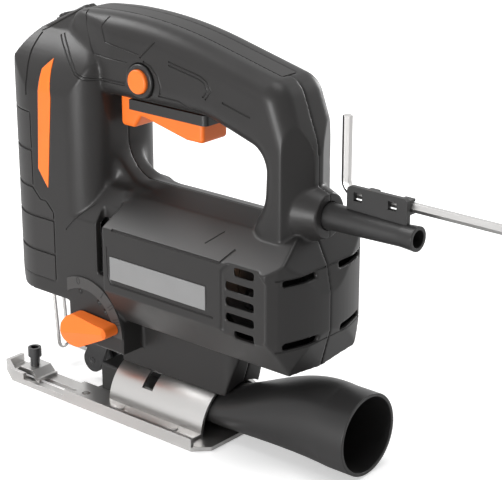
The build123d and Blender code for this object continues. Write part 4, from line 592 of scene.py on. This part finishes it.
# %% Print the scale
MARK_CIRCLE = 23.6
MARK_SIZE = 5.6
MARK_THICK = 0.06
scale_black = plastic("scale_black", (0.006, 0.006, 0.006), 0.5, 0.6, bump=0.02)
upright = Matrix.Rotation(math.radians(90), 4, "X")
for text, angle in SCALE.items():
    x, z = on_dial(angle, MARK_CIRCLE)
    rim_y = flank_spot(eased["orbit_dial"], x, z, LEFT).y
    bpy.ops.object.select_all(action="DESELECT")
    bpy.ops.object.text_add()
    mark = bpy.context.object
    mark.data.body = text
    mark.data.size = MARK_SIZE * MM
    mark.data.extrude = MARK_THICK * MM
    mark.data.align_x = "CENTER"
    mark.data.align_y = "CENTER"
    bpy.ops.object.convert(target="MESH")
    mark = bpy.context.object
    mark.name = "scale_mark_" + text
    turned = Matrix.Rotation(math.radians(angle), 4, "Y")
    mark.matrix_world = Matrix.Translation((x * MM, rim_y, z * MM)) @ turned @ upright
    only(mark)
    bpy.ops.object.transform_apply(location=True, rotation=True, scale=True)
    mark.data.materials.append(scale_black)
    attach(mark, body_of_node["orbit_dial"])
dial_grey = plastic("dial_grey", (0.050, 0.048, 0.047), 0.4, 0.5, specular=0.3)
eased["orbit_dial"].data.materials[0] = dial_grey
print("scale marks:", len(SCALE))

# %% [markdown]
# ## Blackened pins
# The pins of the roller and its fork are blackened like the fork, so that they don't glint in the dark
# gap under the nose. Their shapes are plain, so the solids stay and only the finish changes.

# %% Blacken the pins
BLACK_PINS = ("fork_pin", "roller_pin")
for node in BLACK_PINS:
    finish_with(frame["nodes"][node], "black_steel")
print("blackened:", ", ".join(BLACK_PINS))

# %% [markdown]
# ## Pressed steel
# The sole and its saddle are bent and punched from sheet. A larger radius would make them look cast,
# and no radius at all gives edges that catch no light. Sheet edges are sheared, so their bevel is very
# fine, while the bends stay crisp.

# %% Sole and saddle
SHEET_EDGE = 0.35
for node in ("shoe_plate", "saddle"):
    piece = eased_twin(node, SHEET_EDGE)
    print(piece.name, "faces:", len(piece.data.polygons))

# %% [markdown]
# ## Floor
# A plain pale floor carries the tool's shadow. More light would make it white but would also wash out
# the shell, so the floor glows a little for the camera alone and stays a plain matt surface for
# everything else.

# %% Floor
FLOOR_SIZE = 8
FLOOR_DROP = 0.2
FLOOR_WHITE = (0.92, 0.92, 0.92, 1)
FLOOR_ROUGH = 0.9
FLOOR_GLOW = 0.4
WHITE = (1, 1, 1, 1)
bpy.ops.object.select_all(action="DESELECT")
bpy.ops.mesh.primitive_plane_add(size=FLOOR_SIZE, location=(0, 0, -FLOOR_DROP * MM))
floor = bpy.context.object
floor.name = "studio_floor"
floor_material, floor_tree, floor_shader = new_material("pale_floor")
floor_shader.inputs["Base Color"].default_value = FLOOR_WHITE
floor_shader.inputs["Roughness"].default_value = FLOOR_ROUGH
floor_shader.inputs["Specular IOR Level"].default_value = 0.0
floor_shader.inputs["Emission Color"].default_value = WHITE
floor_path = floor_tree.nodes.new("ShaderNodeLightPath")
floor_tree.links.new(
    range_node(floor_tree, floor_path.outputs["Is Camera Ray"], 0.0, FLOOR_GLOW),
    floor_shader.inputs["Emission Strength"],
)
floor.data.materials.append(floor_material)
print("floor:", floor.name, "glow for the camera:", FLOOR_GLOW)

# %% [markdown]
# ## Surroundings
# In a white studio the walls show behind the tool and in its gloss. If they lit the tool as strongly,
# its dark shell would lose its shape. The world is therefore white for the camera and for reflections,
# and gives only a low fill otherwise.

# %% World
WORLD_FILL = 0.35
world = bpy.data.worlds.new("studio")
bpy.context.scene.world = world
world.use_nodes = True
sky = world.node_tree.nodes["Background"]
sky.inputs["Color"].default_value = WHITE
path = world.node_tree.nodes.new("ShaderNodeLightPath")
seen = world.node_tree.nodes.new("ShaderNodeMath")
seen.operation = "MAXIMUM"
world.node_tree.links.new(path.outputs["Is Camera Ray"], seen.inputs[0])
world.node_tree.links.new(path.outputs["Is Glossy Ray"], seen.inputs[1])
level = range_node(world.node_tree, seen.outputs["Value"], WORLD_FILL, 1.0)
world.node_tree.links.new(level, sky.inputs["Strength"])
print("world fill:", WORLD_FILL)

# %% [markdown]
# ## Lamps
# The charcoal shell gets its shape from a few bright lamps and little fill: a soft box straight off the
# left flank, one up in front that draws a streak along the grip, one overhead, and one behind that rims
# the rear column. Spot lamps would give hard glints, so all four are square area lamps. Their places
# are in metres.

# %% Lamps
TOOL_MIDDLE = Vector((0.06, 0, 0.1))
# Place, size in metres and power in watts of each lamp
LAMPS = {
    "flank_lamp": ((0.12, -1.00, 0.14), 0.30, 8),
    "front_lamp": ((-0.75, -0.15, 0.95), 0.50, 8),
    "top_lamp": ((0.25, 0.10, 1.20), 0.60, 5),
    "rear_lamp": ((0.15, 1.00, 0.35), 0.40, 5),
}
for name, (place, size, power) in LAMPS.items():
    lamp = bpy.data.lights.new(name, "AREA")
    lamp.size = size
    lamp.energy = power
    obj = bpy.data.objects.new(name, lamp)
    bpy.context.scene.collection.objects.link(obj)
    obj.location = place
    obj.rotation_mode = "QUATERNION"
    obj.rotation_quaternion = (TOOL_MIDDLE - Vector(place)).to_track_quat("-Z", "Y")
    print(name, "watts:", power)

# %% [markdown]
# ## Camera
# The photograph was taken from behind the tool's left shoulder, a little above it, with a long lens.
# The place, the two angles and the focal length were solved from the corners of the sole and saddle,
# which is surer than turning the camera by eye.

# %% Camera
AZIMUTH, ELEVATION = math.radians(40.48), math.radians(19.7)
CAMERA_PLACE = (0.5873, -0.5572, 0.3613)
LENS, SENSOR = 119.5, 36.0
CLIP_NEAR, CLIP_FAR = 0.01, 20
camera_data = bpy.data.cameras.new("photo_camera")
camera_data.lens = LENS
camera_data.sensor_width = SENSOR
camera_data.clip_start = CLIP_NEAR
camera_data.clip_end = CLIP_FAR
camera = bpy.data.objects.new("photo_camera", camera_data)
bpy.context.scene.collection.objects.link(camera)
camera.location = CAMERA_PLACE
back = Vector(
    (
        math.sin(AZIMUTH) * math.cos(ELEVATION),
        -math.cos(AZIMUTH) * math.cos(ELEVATION),
        math.sin(ELEVATION),
    )
)
camera.rotation_mode = "QUATERNION"
camera.rotation_quaternion = (-back).to_track_quat("-Z", "Y")
bpy.context.scene.camera = camera
bpy.context.scene.view_settings.view_transform = "Standard"
print("camera at", CAMERA_PLACE, "with lens", LENS)

# %% [markdown]
# ## Sizes
# Rounding must not change how large the tool is.
